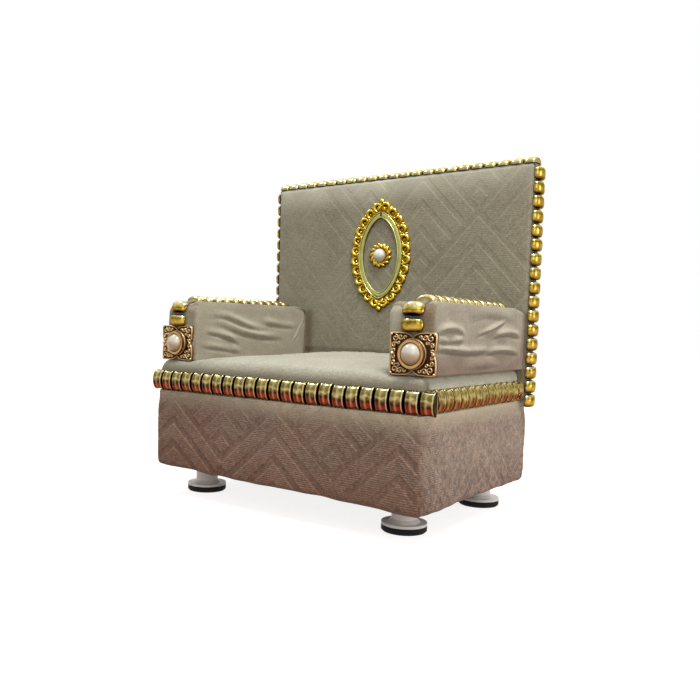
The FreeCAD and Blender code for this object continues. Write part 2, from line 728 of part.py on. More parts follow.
def disc(radius, depth, x, z):
    return Part.makeCylinder(radius, depth, Vector(x, 0, z), Vector(0, -1, 0))


def oval_brooch():
    """A pointed oval frame: a smooth band round its opening, leaf lobes outside, a knob at each tip."""
    opening_w, opening_h = size("oval_opening_width"), size("oval_opening_height")
    band = size("oval_band_width")
    lobe = size("oval_lobe_radius")
    knob = size("oval_knob_radius")
    thick = size("oval_thickness")
    tip_reach = size("oval_height") / 2 - 2 * knob
    side_reach = size("oval_width") / 2
    rim = almond(opening_w + 2 * band, opening_h + 3 * band, size("oval_band_thickness"))
    plate = almond(2 * (side_reach - 1.5 * lobe), 2 * (tip_reach - lobe), thick)
    path = almond_edge(2 * (side_reach - lobe), 2 * (tip_reach - lobe), 1)
    count = int(path.Length / (1.85 * lobe))
    lobes = []
    for point in path.discretize(count + 1):
        lobes.append(disc(lobe, thick, point.x, point.z))
        if abs(point.x) > lobe / 2:
            lobes.append(disc(lobe, thick, -point.x, point.z))
    knobs = [disc(knob, thick, 0, sign * (size("oval_height") / 2 - knob)) for sign in (-1, 1)]
    stems = [Part.makeBox(knob, thick, 2 * knob, Vector(-knob / 2, -thick, low))
             for low in (tip_reach - knob, -tip_reach - knob)]
    frame = rim.fuse([plate] + lobes + knobs + stems)
    frame = frame.cut(almond(opening_w, opening_h, size("oval_band_thickness"))).removeSplitter()
    item = feature("oval_brooch_frame", frame)
    place(item, "sizes.oval_offset", "places.back_front", "sizes.oval_level")


def rosette():
    """A ring of petals with a half pearl in its middle."""
    across, thick = size("rosette_diameter"), size("rosette_thickness")
    petal = size("rosette_petal_radius")
    reach = across / 2 - petal
    count = int(math.pi / math.asin(petal / reach) * 1.25)
    pieces = []
    for index in range(count):
        angle = 2 * math.pi * index / count
        pieces.append(disc(petal, thick, reach * math.cos(angle), reach * math.sin(angle)))
    flower = disc(reach, thick, 0, 0).fuse(pieces).removeSplitter()
    item = feature("rosette", flower)
    place(item, "sizes.oval_offset", "places.back_front", "sizes.oval_level")
    pearl("rosette_pearl", "sizes.rosette_pearl_diameter",
          ("sizes.oval_offset", "places.back_front - sizes.rosette_thickness", "sizes.oval_level"))


def pearl(label, diameter, position):
    """A half pearl with its flat side to the rear."""
    item = document.addObject("Part::Sphere", label)
    item.setExpression("Radius", diameter + " / 2")
    item.Angle1 = 0
    place(item, *position, rotation=Rotation(X, 90))
    keep(item, label)


def square_brooch(side, sign):
    """A square plate with notched sides and four pierced scrolls, its bezel and its half pearl."""
    width, height = size("square_width"), size("square_height")
    thick, notch = size("square_thickness"), size("square_notch")
    scroll = size("square_scroll_radius")
    plate = Part.makeBox(width, thick, height, Vector(-width / 2, -thick, -height / 2))
    cuts = []
    for x_sign, z_sign in ((1, 0), (-1, 0), (0, 1), (0, -1)):
        cuts.append(disc(notch, thick, x_sign * width / 2, z_sign * height / 2))
    for x_sign in (-1, 1):
        for z_sign in (-1, 1):
            x = x_sign * (width / 2 - 1.6 * scroll)
            z = z_sign * (height / 2 - 1.6 * scroll)
            cuts.append(disc(scroll / 2, thick, x, z))
    item = feature(side + "_square_brooch", plate.cut(Part.makeCompound(cuts)))
    spot = outset_from_arm(side, sign, "sizes.square_outset")
    place(item, spot, "places.arm_front", "places.square_middle")
    ring = body(side + "_pearl_bezel")
    face = sketch_on(ring, "XY_Plane", "ring")
    centre = ("0 * sizes.bezel_wall", "0 * sizes.bezel_wall")
    circle(face, centre, "sizes.arm_pearl_diameter + 2 * sizes.piece_clearance")
    circle(face, centre, "sizes.arm_pearl_diameter + 2 * sizes.bezel_wall")
    pad(ring, face, "sizes.bezel_height")
    place(ring, spot, "places.square_face", "places.square_middle", rotation=Rotation(X, 90))
    pearl(side + "_arm_pearl", "sizes.arm_pearl_diameter",
          (spot, "places.square_face", "places.square_middle"))


def turned_piece(label, points, position):
    """A piece turned about the upright axis from an outline of radius and height pairs."""
    item = body(label)
    face = sketch_on(item, "XZ_Plane", "section")
    outline(face, points)
    document.recompute()
    spun = item.newObject("PartDesign::Revolution", "turning")
    spun.Profile = face
    spun.ReferenceAxis = (face, ["V_Axis"])
    spun.Angle = 360
    document.recompute()
    place(item, *position)
    return item


def feet():
    """Round plastic feet on rubber rings, each held by a screw from below."""
    for corner, (x, y) in FOOT_SPOTS.items():
        bore = "places.hole_diameter / 2"
        flange = "sizes.foot_flange_diameter / 2"
        stem = "sizes.foot_stem_diameter / 2"
        top = "places.lining_bottom - sizes.pad_thickness"
        foot = turned_piece("foot_" + corner, [
            (bore, "0 * sizes.pad_thickness"), (flange, "0 * sizes.pad_thickness"),
            (flange, "sizes.foot_flange_thickness"),
            (stem + " + sizes.foot_fillet", "sizes.foot_flange_thickness"),
            (stem, "sizes.foot_flange_thickness + sizes.foot_fillet"), (stem, top), (bore, top),
        ], (x, y, "sizes.pad_thickness"))
        foot.Label = "foot_" + corner
        hole = "sizes.pad_hole_diameter / 2"
        ease = "sizes.pad_edge_radius"
        turned_piece("rubber_pad_" + corner, [
            (hole, "0 * sizes.pad_thickness"), (flange + " - " + ease, "0 * sizes.pad_thickness"),
            (flange, ease), (flange, "sizes.pad_thickness"), (hole, "sizes.pad_thickness"),
        ], (x, y, "0"))


def screws(label, spots, head_level, length):
    """Upright screws with their heads down, one solid each in one node."""
    group = body(label)
    level = sketch_on(group, "XY_Plane", "heads")
    for x, y in spots:
        circle(level, (x, y), "sizes.screw_head_diameter")
    pad(group, level, "sizes.screw_head_thickness")
    shanks = sketch_on(group, "XY_Plane", "shanks")
    for x, y in spots:
        circle(shanks, (x, y), "sizes.screw_diameter")
    pad(group, shanks, length)
    place(group, z=head_level)


def fasteners():
    """Screws that hold the feet, the arms and the back."""
    screws("foot_screws", list(FOOT_SPOTS.values()), "places.foot_head_level",
           "places.box_bottom - places.foot_head_level + sizes.foot_screw_bite")
    screws("arm_screws", ARM_SCREW_SPOTS, "places.top_board_bottom",
           "places.seat_edge_top - places.top_board_bottom + sizes.upper_screw_bite")
    screws("back_screws", BACK_SCREW_SPOTS, "places.top_board_bottom",
           "sizes.board_thickness + sizes.upper_screw_bite")


base_box()
base_cover()
seat()
back_rest()
for arm_side, arm_sign in (("right", "-"), ("left", "")):
    arm(arm_side)
base_trim()
back_trim()
for arm_side, arm_sign in (("right", "-"), ("left", "")):
    arm_trim(arm_side, arm_sign)
    square_brooch(arm_side, arm_sign)
oval_brooch()
rosette()
feet()
fasteners()
document.recompute()

for item in document.Objects:
    if "Invalid" in item.State or "Error" in item.State:
        raise RuntimeError("%s failed: %s" % (item.Label, item.State))
os.makedirs("parts", exist_ok=True)
for item in parts:
    if item.Shape.isNull() or not item.Shape.isValid() or not item.Shape.Solids:
        raise RuntimeError(item.Label + " has no valid solid")
for item in parts:
    item.Shape.exportStep("parts/%s.step" % item.Label)
print("%d sub-parts written" % len(parts))
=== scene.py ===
"""The dressed throne: padded chevron fabric, beaded gold trim, brooches, pearls and feet.

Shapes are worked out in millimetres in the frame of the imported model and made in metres. Lamps, the
floor and the depths of bumps are in metres.
"""
import math

import bmesh
import bpy
import numpy as np
from mathutils import Matrix, Vector


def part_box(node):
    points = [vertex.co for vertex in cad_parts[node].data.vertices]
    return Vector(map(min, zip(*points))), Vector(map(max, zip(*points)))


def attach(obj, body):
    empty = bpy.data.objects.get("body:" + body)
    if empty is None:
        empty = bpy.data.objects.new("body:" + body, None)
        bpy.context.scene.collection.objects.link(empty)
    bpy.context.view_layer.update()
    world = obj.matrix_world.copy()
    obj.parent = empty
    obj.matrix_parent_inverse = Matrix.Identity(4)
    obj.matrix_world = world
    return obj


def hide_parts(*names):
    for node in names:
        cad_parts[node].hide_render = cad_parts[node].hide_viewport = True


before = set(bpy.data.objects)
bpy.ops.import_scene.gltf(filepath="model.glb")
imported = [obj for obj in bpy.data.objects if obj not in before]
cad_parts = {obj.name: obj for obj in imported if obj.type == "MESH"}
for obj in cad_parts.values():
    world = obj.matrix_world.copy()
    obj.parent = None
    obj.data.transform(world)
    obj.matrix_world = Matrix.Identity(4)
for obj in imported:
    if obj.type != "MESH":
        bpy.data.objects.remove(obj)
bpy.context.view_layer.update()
MM = 0.001
TINY = 1e-6
SEED = 7
FULL_TURN = 2 * math.pi
SIDES = (("right", -1.0), ("left", 1.0))
BLACK = (0.0, 0.0, 0.0)
WHITE = (1.0, 1.0, 1.0)


def box_mm(node):
    """A node's lowest and highest corners in millimetres."""
    low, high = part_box(node)
    return np.array(low) / MM, np.array(high) / MM


# Node trees

class Nodes:
    """A short way to write the nodes of a material or of the world."""

    def __init__(self, owner):
        """The owner is the world, or the name of a new material."""
        self.owner = bpy.data.materials.new(owner) if isinstance(owner, str) else owner
        self.owner.use_nodes = True
        self.tree = self.owner.node_tree
        self.shader = self.tree.nodes.get("Principled BSDF")

    def fill(self, socket, value):
        """Set a socket to a number, a vector or a colour, or link another node's output to it."""
        if isinstance(value, (int, float)):
            socket.default_value = value
        elif isinstance(value, tuple):
            opaque = (1.0,) * (len(socket.default_value) - len(value))
            socket.default_value = value + opaque
        else:
            self.tree.links.new(value, socket)

    def add(self, kind, **values):
        """A new node: names with a capital are its sockets, the others its settings."""
        node = self.tree.nodes.new("ShaderNode" + kind)
        for key, value in values.items():
            if key[0].isupper():
                self.fill(node.inputs[key.replace("_", " ")], value)
            else:
                setattr(node, key, value)
        return node

    def coordinates(self, scale=(1, 1, 1), uv=None):
        """Object coordinates, or the named cloth map, stretched by scale."""
        if uv:
            source = self.add("UVMap", uv_map=uv).outputs["UV"]
        else:
            source = self.add("TexCoord").outputs["Object"]
        return self.add("Mapping", Scale=scale, Vector=source).outputs["Vector"]

    def noise(self, scale, detail, roughness=0.5):
        node = self.add("TexNoise", Scale=scale, Detail=detail, Roughness=roughness,
                        Vector=self.coordinates())
        return node.outputs["Fac"]

    def bands(self, direction, scale, distortion, place, **values):
        """Parallel bands across a direction, from 0 to 1."""
        node = self.add("TexWave", wave_type="BANDS", bands_direction=direction, Scale=scale,
                        Distortion=distortion, Vector=place, **values)
        return node.outputs["Fac"]

    def attribute(self, name):
        return self.add("Attribute", attribute_name=name).outputs["Fac"]

    def ramp(self, source, stops):
        node = self.add("ValToRGB", Fac=source)
        ends = node.color_ramp.elements
        while len(ends) < len(stops):
            ends.new(0.5)
        for element, (position, colour) in zip(ends, stops):
            element.position = position
            element.color = (*colour, 1.0)
        return node.outputs["Color"]

    def math(self, operation, first, second, clamp=False):
        node = self.add("Math", operation=operation, use_clamp=clamp)
        self.fill(node.inputs[0], first)
        self.fill(node.inputs[1], second)
        return node.outputs[0]

    def plus(self, first, second, clamp=False):
        return self.math("ADD", first, second, clamp)

    def times(self, first, second, clamp=False):
        return self.math("MULTIPLY", first, second, clamp)

    def mix(self, amount, first, second, blend="MIX"):
        node = self.add("Mix", data_type="RGBA", blend_type=blend)
        for index, value in ((0, amount), (6, first), (7, second)):
            self.fill(node.inputs[index], value)
        return node.outputs[2]

    def tinted(self, first, second):
        """One colour times the other."""
        return self.mix(1.0, first, second, "MULTIPLY")

    def bump(self, height, distance, strength=1.0, after=None):
        node = self.add("Bump", Distance=distance, Strength=strength, Height=height)
        if after is not None:
            self.fill(node.inputs["Normal"], after)
        return node.outputs["Normal"]

    def seen_directly(self):
        """1 where the camera, a mirror or glass looks at a surface, and 0 for light that it scatters."""
        rays = self.add("LightPath").outputs
        seen = self.plus(rays["Is Camera Ray"], rays["Is Glossy Ray"])
        return self.plus(seen, rays["Is Transmission Ray"], clamp=True)

    def set(self, **values):
        """Fill sockets of the material's shader."""
        for key, value in values.items():
            self.fill(self.shader.inputs[key.replace("_", " ")], value)


# Camera and light

def make_camera():
    """The photograph's camera, as measured from the rows of beads."""
    yaw, pitch, roll = math.radians(37.114), math.radians(3.905), math.radians(1.468)
    place = Vector((246.7, -360.1, 100.8)) * MM
    focal_px, centre_px, frame_px, sensor = 748.6, (303.9, 377.5), 700.0, 36.0
    data = bpy.data.cameras.new("camera")
    data.sensor_width = sensor
    data.lens = focal_px / frame_px * sensor
    data.shift_x = (frame_px / 2 - centre_px[0]) / frame_px
    data.shift_y = (centre_px[1] - frame_px / 2) / frame_px
    data.clip_start = 0.01
    camera = bpy.data.objects.new("camera", data)
    turn = Matrix.Rotation(yaw, 4, "Z") @ Matrix.Rotation(math.pi / 2 - pitch, 4, "X")
    camera.matrix_world = Matrix.Translation(place) @ turn @ Matrix.Rotation(roll, 4, "Z")
    bpy.context.scene.collection.objects.link(camera)
    bpy.context.scene.camera = camera


# Each lamp's place, the height that it looks at above the origin, its size, power and colour
LAMPS = {
    "key": ((0.35, -0.25, 0.95), 0.08, 0.32, 7.5, (1.0, 0.98, 0.94)),
    "window": ((-0.56, 0.0, 0.9), 0.08, 0.16, 2.4, (0.97, 1.0, 0.98)),
    "fill": ((0.7, -0.75, 0.5), 0.1, 0.7, 3.4, (1.0, 0.99, 0.98)),
    "side": ((1.1, 0.25, 0.22), 0.08, 0.5, 2.6, (1.0, 0.99, 0.97)),
    "rear": ((-0.2, 0.9, 0.7), 0.1, 0.8, 4.0, WHITE),
}


def area_light(name, place, aim_height, size, power, colour):
    data = bpy.data.lights.new(name, "AREA")
    data.shape = "SQUARE"
    data.size = size
    data.energy = power
    data.color = colour
    lamp = bpy.data.objects.new(name, data)
    lamp.location = place
    aim = Vector((0.0, 0.0, aim_height)) - Vector(place)
    lamp.rotation_euler = aim.to_track_quat("-Z", "Y").to_euler()
    bpy.context.scene.collection.objects.link(lamp)


def make_light():
    """A pale room that looks white behind the throne, and five square lamps."""
    bpy.context.scene.world = bpy.data.worlds.new("studio")
    sky = Nodes(bpy.context.scene.world)
    room = sky.add("Background", Color=(1.0, 0.985, 0.96), Strength=0.42)
    white = sky.add("Background", Color=WHITE, Strength=1.0)
    chosen = sky.add("MixShader")
    for socket, source in zip(chosen.inputs, (sky.seen_directly(), room.outputs[0], white.outputs[0])):
        sky.fill(socket, source)
    sky.fill(sky.tree.nodes["World Output"].inputs["Surface"], chosen.outputs[0])
    for name, values in LAMPS.items():
        area_light(name, *values)


def make_floor():
    """A pale floor that the camera sees as white but for the shadow, and that throws back little light."""
    reach = 3.0
    brightness = 0.84
    mesh = bpy.data.meshes.new("floor")
    mesh.from_pydata([(-reach, -reach, 0), (reach, -reach, 0), (reach, reach, 0), (-reach, reach, 0)],
                     [], [(0, 1, 2, 3)])
    floor = bpy.data.objects.new("floor", mesh)
    bpy.context.scene.collection.objects.link(floor)
    m = Nodes("floor")
    m.set(Base_Color=(0.42, 0.36, 0.33), Roughness=0.9, Specular_IOR_Level=0.1)
    emission = m.add("Emission", Color=WHITE, Strength=m.times(m.seen_directly(), brightness))
    glow = m.add("AddShader")
    m.fill(glow.inputs[0], m.shader.outputs[0])
    m.fill(glow.inputs[1], emission.outputs[0])
    m.fill(m.tree.nodes["Material Output"].inputs["Surface"], glow.outputs[0])
    floor.data.materials.append(m.owner)


# Materials

def linear(red, green, blue):
    """A display colour from 0 to 255, as the linear values that shaders take."""
    shares = (red / 255, green / 255, blue / 255)
    return tuple(s / 12.92 if s <= 0.04045 else ((s + 0.055) / 1.055) ** 2.4 for s in shares)


def tones(*stops):
    """The stops of a ramp from rows of a position and a display colour."""
    return [(position, linear(*colour)) for position, *colour in stops]


def scaled(colour, share):
    return tuple(share * c for c in colour)


def fabric(name, colour, shade, ribs, groove, rim, grime_and_shade_colour, painted_light_colour=(186, 184, 166)):
    """Chenille: raised ribbed bands, smooth grooves between, a short soft nap and uneven blotches and
    stains, with painted shade in grooves and creases and painted light on tops that catch the light.
    """
    m = Nodes(name)
    colour, shade = linear(*colour), linear(*shade)
    pile = m.attribute("pile")
    wave = m.bands("Y", 0.31, 3.2, m.coordinates((0.35, 1.0, 1.0), "cloth"), Detail=2.0, Detail_Scale=0.6)
    ribbed = m.times(wave, m.times(pile, ribs))
    ridges = m.times(ribbed, m.math("SUBTRACT", 1.0, m.attribute("smooth")))
    tone = m.ramp(m.noise(38.0, 4.0, roughness=0.6), [(0.3, shade), (0.68, colour)])
    # Darker where the attribute is low: painted shade in the grooves, on fold slopes that face down and in
    # creases.
    sunk = m.mix(pile, m.mix(groove, tone, BLACK), tone)
    combed = m.mix(m.times(ridges, 0.28), sunk, scaled(colour, 1.8))
    # Lighter where the rim attribute rises: the chevrons' pale rim lines, and on the arms a painted
    # highlight on fold slopes that face up.
    lit_rim = tuple(1.3 * c + 0.11 for c in colour)
    rimmed = m.mix(m.times(m.attribute("rim"), rim), combed, lit_rim)
    flecks = m.ramp(m.noise(900.0, 2.0), [(0.35, scaled(shade, 0.72)), (0.7, scaled(colour, 1.3))])
    flecked = m.mix(0.34, rimmed, flecks)
    # Tinted towards the darker colour where the attribute rises: real stains, together with painted shade in
    # creases, low down and beside the trim.
    stained_and_shaded = m.tinted(flecked, m.ramp(m.attribute("grime"), [(0.0, WHITE), (1.0, grime_and_shade_colour)]))
    blotches = m.ramp(m.noise(430.0, 3.0, roughness=0.7),
                      [(0.44, (0.58, 0.56, 0.54)), (0.57, (1.20, 1.20, 1.20))])
    mottled = m.mix(m.attribute("mottle"), stained_and_shaded, m.tinted(stained_and_shaded, blotches))
    # Painted light: mixed towards a pale colour at tops and faces that catch the light.
    faded = m.mix(m.times(m.attribute("faded"), 0.6), mottled, linear(*painted_light_colour))
    m.set(Base_Color=faded, Roughness=0.92, Specular_IOR_Level=0.2, Sheen_Weight=0.25, Sheen_Roughness=0.5)
    weave = m.bump(ridges, 0.00026)
    nap = m.bump(m.noise(2300.0, 2.0), 0.00022, 0.7, weave)
    m.set(Normal=m.bump(m.noise(260.0, 3.0), 0.0004, 0.5, nap))
    return m.owner


def tone_by_lift(m, stops, stir=0.16):
    """A painted reflection: a colour by how far a face turns up or down, as polished metal would mirror a
    pale room above and a red table below.
    """
    facing = m.add("SeparateXYZ", Vector=m.add("NewGeometry").outputs["Normal"])
    lift = m.plus(m.times(facing.outputs["Z"], 0.5), 0.5)
    uneven = m.times(m.math("SUBTRACT", m.noise(260.0, 2.0), 0.5), stir)
    return m.ramp(m.plus(lift, uneven), stops), lift


def gold(name, stops, rough, dents, spotting, cool_stops=None, rims_and_gaps=True, stir=0.16):
    """Metallised gold coloured by painted reflection: pale painted highlights on the rims, painted shade
    towards the gaps, and a redder painted reflection towards the front.
    """
    m = Nodes(name)
    tone, lift = tone_by_lift(m, stops, stir)
    # Painted reflection: towards the front the beads mirror more of the red table.
    if cool_stops:
        tone = m.mix(m.attribute("warm"), tone_by_lift(m, cool_stops, stir)[0], tone)
    spots = m.ramp(m.noise(420.0, 3.0), [(0.42, WHITE), (0.62, (0.42, 0.38, 0.28))])
    tone = m.mix(spotting, tone, m.tinted(tone, spots))
    # Painted highlight where the rim attribute rises, and painted shade darkening bead ends and the gaps
    # between parts.
    if rims_and_gaps:
        shining = m.times(m.attribute("rim"), m.plus(lift, 0.15), clamp=True)
        tone = m.mix(shining, tone, linear(242, 238, 194))
        tone = m.tinted(tone, m.mix(m.attribute("pile"), (0.10, 0.06, 0.03), WHITE))
    m.set(Base_Color=tone, Metallic=0.95, Roughness=rough, Specular_Tint=(0.86, 0.70, 0.50))
    m.set(Normal=m.bump(m.noise(330.0, 2.0), dents))
    return m.owner


def antique_gold():
    """Pinkish gold plate, bright on the high spots, dark in the piercings, with a painted reflection: paler
    on what faces up and redder on what faces down.
    """
    m = Nodes("antique_gold")
    bright = tone_by_lift(m, tones((0.2, 128, 80, 46), (0.5, 180, 146, 98), (0.8, 228, 208, 156)))[0]
    rims_and_gaps = m.times(m.attribute("pile"), m.plus(0.55, m.noise(500.0, 3.0)), clamp=True)
    bright_share = m.ramp(rims_and_gaps, [(0.05, BLACK), (0.75, WHITE)])
    m.set(Base_Color=m.mix(bright_share, linear(60, 32, 24), bright), Metallic=0.85, Roughness=0.32,
          Normal=m.bump(m.noise(900.0, 2.0), 0.00012))
    return m.owner


def pearl_material(name, above, below, edge):
    """Imitation pearl in painted reflection: silvery where it faces up, brownish where it looks down at the
    seat, and tinted gold at its edge by a painted reflection of its setting.
    """
    m = Nodes(name)
    above, below = linear(*above), linear(*below)
    lustre = tone_by_lift(m, [(0.2, scaled(below, 0.8)), (0.40, below), (0.62, above)], 0.06)[0]
    m.set(Base_Color=m.mix(m.attribute("pile"), linear(*edge), lustre), Roughness=0.22,
          Specular_IOR_Level=0.6, Coat_Weight=0.5, Coat_Roughness=0.08,
          Normal=m.bump(m.noise(420.0, 2.0), 0.00004))
    return m.owner


def plastic(name, colour, rough, grain, gloss):
    """Moulded plastic or rubber, a little scuffed."""
    m = Nodes(name)
    scuffed = m.mix(m.noise(240.0, 3.0), linear(*colour), scaled(linear(*colour), 0.86))
    m.set(Base_Color=scuffed, Roughness=rough, Specular_IOR_Level=gloss,
          Normal=m.bump(m.noise(grain, 3.0), 0.00008))
    return m.owner


def woven(name, colour, thread):
    """Plain tape or lining: fine crossed threads."""
    m = Nodes(name)
    warp, weft = (m.bands(direction, thread, 1.5, m.coordinates()) for direction in "XZ")
    cross = m.times(warp, weft)
    m.set(Base_Color=m.mix(cross, scaled(linear(*colour), 0.6), linear(*colour)), Roughness=0.6,
          Sheen_Weight=0.3, Normal=m.bump(cross, 0.00012))
    return m.owner


def timber():
    m = Nodes("timber")
    grain = m.bands("X", 40.0, 6.0, m.coordinates((1, 0.2, 1)))
    m.set(Base_Color=m.mix(grain, linear(170, 128, 84), linear(206, 166, 116)), Roughness=0.7,
          Normal=m.bump(grain, 0.0001))
    return m.owner


def steel():
    m = Nodes("zinc_steel")
    m.set(Base_Color=m.mix(m.noise(300.0, 3.0), linear(150, 150, 148), linear(190, 190, 186)),
          Metallic=1.0, Roughness=0.38, Normal=m.bump(m.noise(900.0, 2.0), 0.00005))
    return m.owner


# Ramps by how far a face turns up, from 0 facing down to 1 facing up: painted reflections of a red table
# below and a pale room above, with painted highlight bands and dark painted bands.
BEAD_TONES = tones((0.04, 80, 40, 28), (0.18, 118, 38, 20), (0.36, 132, 42, 20), (0.445, 50, 22, 12),
                   (0.50, 110, 80, 40), (0.56, 206, 186, 120), (0.63, 134, 118, 56),
                   (0.78, 168, 156, 92), (0.87, 240, 232, 176), (0.96, 176, 164, 108))
COOL_TONES = tones((0.05, 84, 46, 26), (0.20, 126, 50, 22), (0.38, 110, 50, 20), (0.46, 136, 106, 52),
                   (0.55, 206, 188, 122), (0.64, 152, 138, 74), (0.78, 188, 174, 106),
                   (0.90, 242, 236, 178))
PILLOW_TONES = tones((0.06, 60, 40, 14), (0.26, 122, 90, 30), (0.42, 180, 148, 62), (0.50, 192, 162, 70),
                     (0.57, 116, 94, 24), (0.68, 198, 178, 90), (0.84, 244, 238, 184))
OVAL_TONES = tones((0.10, 96, 62, 14), (0.34, 150, 110, 22), (0.50, 186, 152, 40), (0.62, 208, 182, 54),
                   (0.84, 248, 240, 140))
BAND_TONES = tones((0.20, 120, 92, 40), (0.44, 160, 156, 92), (0.60, 188, 190, 120), (0.90, 232, 230, 170))
COLLAR_TONES = tones((0.15, 140, 84, 56), (0.42, 176, 124, 88), (0.62, 196, 172, 110), (0.88, 246, 234, 180))
MATERIALS = {
    "base": fabric("fabric_base", (140, 116, 100), (110, 88, 76), ribs=1.5, groove=0.22, rim=0.95,
                   grime_and_shade_colour=(0.80, 0.60, 0.50), painted_light_colour=(228, 216, 188)),
    "seat": fabric("fabric_seat", (182, 180, 163), (161, 158, 142), ribs=0.4, groove=0.05, rim=0.3,
                   grime_and_shade_colour=(0.42, 0.38, 0.33)),
    "arm": fabric("fabric_arm", (152, 144, 125), (134, 124, 106), ribs=0.0, groove=0.34, rim=0.9,
                  grime_and_shade_colour=(0.66, 0.52, 0.47)),
    "back": fabric("fabric_back", (144, 140, 121), (127, 122, 104), ribs=0.2, groove=0.05, rim=0.35,
                   grime_and_shade_colour=(0.56, 0.48, 0.40)),
    "bead": gold("gold_bead", BEAD_TONES, 0.2, 0.00015, 0.5, COOL_TONES, stir=0.26),
    "pillow": gold("gold_pillow", PILLOW_TONES, 0.2, 0.00015, 0.62, stir=0.22),
    "bright": gold("bright_gold", OVAL_TONES, 0.25, 0.0002, 0.3),
    "band": gold("pale_gold", BAND_TONES, 0.3, 0.0001, 0.15),
    "collar": gold("collar_gold", COLLAR_TONES, 0.25, 0.0001, 0.2, rims_and_gaps=False),
    "antique": antique_gold(),
    "pearl": pearl_material("pearl", (190, 187, 174), (172, 142, 108), (160, 126, 76)),
    "white_pearl": pearl_material("white_pearl", (214, 216, 212), (196, 186, 172), (170, 150, 110)),
    "white_plastic": plastic("white_plastic", (236, 230, 224), 0.35, 500.0, 0.5),
    "rubber": plastic("black_rubber", (7, 6, 6), 0.7, 900.0, 0.2),
    "tape": woven("ribbon_tape", (98, 102, 106), 420.0),
    "lining": woven("lining_cloth", (104, 92, 78), 260.0),
    "timber": timber(),
    "steel": steel(),
}


# Mesh helpers

def add_object(name, mesh, material):
    piece = bpy.data.objects.new(name, mesh)
    bpy.context.scene.collection.objects.link(piece)
    piece.data.materials.append(MATERIALS[material])
    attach(piece, "root")
    return piece


def mesh_from(name, points, faces):
    """A smooth mesh in metres from points in millimetres."""
    mesh = bpy.data.meshes.new(name)
    mesh.from_pydata([tuple(p) for p in np.asarray(points) * MM], [], [tuple(f) for f in faces])
    mesh.update()
    mesh.polygons.foreach_set("use_smooth", [True] * len(mesh.polygons))
    return mesh


def put_attributes(mesh, **layers):
    """Give each point a value under each name."""
    for name, values in layers.items():
        spread = np.zeros(len(mesh.vertices)) + values
        mesh.attributes.new(name, "FLOAT", "POINT").data.foreach_set("value", spread.astype(np.float32))


def eased(value, start, end):
    """0 below start, 1 above end, smooth between."""
    share = np.clip((value - start) / (end - start), 0, 1)
    return share * share * (3 - 2 * share)


def bell(value, half_width):
    """1 at zero, falling away smoothly to both sides."""
    return np.exp(-(value / half_width) ** 2)


# Padded blocks

def box_grid(low, high, steps):
    """A box's surface as a grid: its points, its faces, and the axis and sign of each face's side."""
    counts = np.maximum(2, np.round((high - low) / np.array(steps)).astype(int))
    lines = [np.linspace(low[axis], high[axis], counts[axis] + 1) for axis in range(3)]
    flat, faces, facing, offset = [], [], [], 0
    for axis in range(3):
        first, second = (axis + 1) % 3, (axis + 2) % 3
        a, b = np.meshgrid(lines[first], lines[second], indexing="ij")
        for sign in (-1, 1):
            grid = np.zeros(a.shape + (3,))
            grid[..., first], grid[..., second] = a, b
            grid[..., axis] = high[axis] if sign > 0 else low[axis]
            flat.append(grid.reshape(-1, 3))
            index = np.arange(a.size).reshape(a.shape) + offset
            corners = (index[:-1, :-1], index[1:, :-1], index[1:, 1:], index[:-1, 1:])
            quads = np.stack(corners, -1).reshape(-1, 4)
            faces.append(quads if sign > 0 else quads[:, ::-1])
            facing += [(axis, sign)] * len(quads)
            offset += a.size
    flat = np.concatenate(flat)
    _, keep, merge = np.unique(np.round(flat, 4), axis=0, return_index=True, return_inverse=True)
    return flat[keep], merge.reshape(-1)[np.concatenate(faces)], np.array(facing)


def close_openings(mesh):
    """Drop loose points and close each open loop of edges with one face."""
    work = bmesh.new()
    work.from_mesh(mesh)
    bmesh.ops.delete(work, geom=[vert for vert in work.verts if not vert.link_faces], context="VERTS")
    bmesh.ops.holes_fill(work, edges=[edge for edge in work.edges if edge.is_boundary], sides=0)
    work.to_mesh(mesh)
    work.free()


# Layers that each padded piece carries: relief, real stains and blotches, and painted shade and painted
# light.
WEAR_AND_LIGHT_LAYERS = ("pile", "rim", "grime", "faded", "smooth", "mottle")


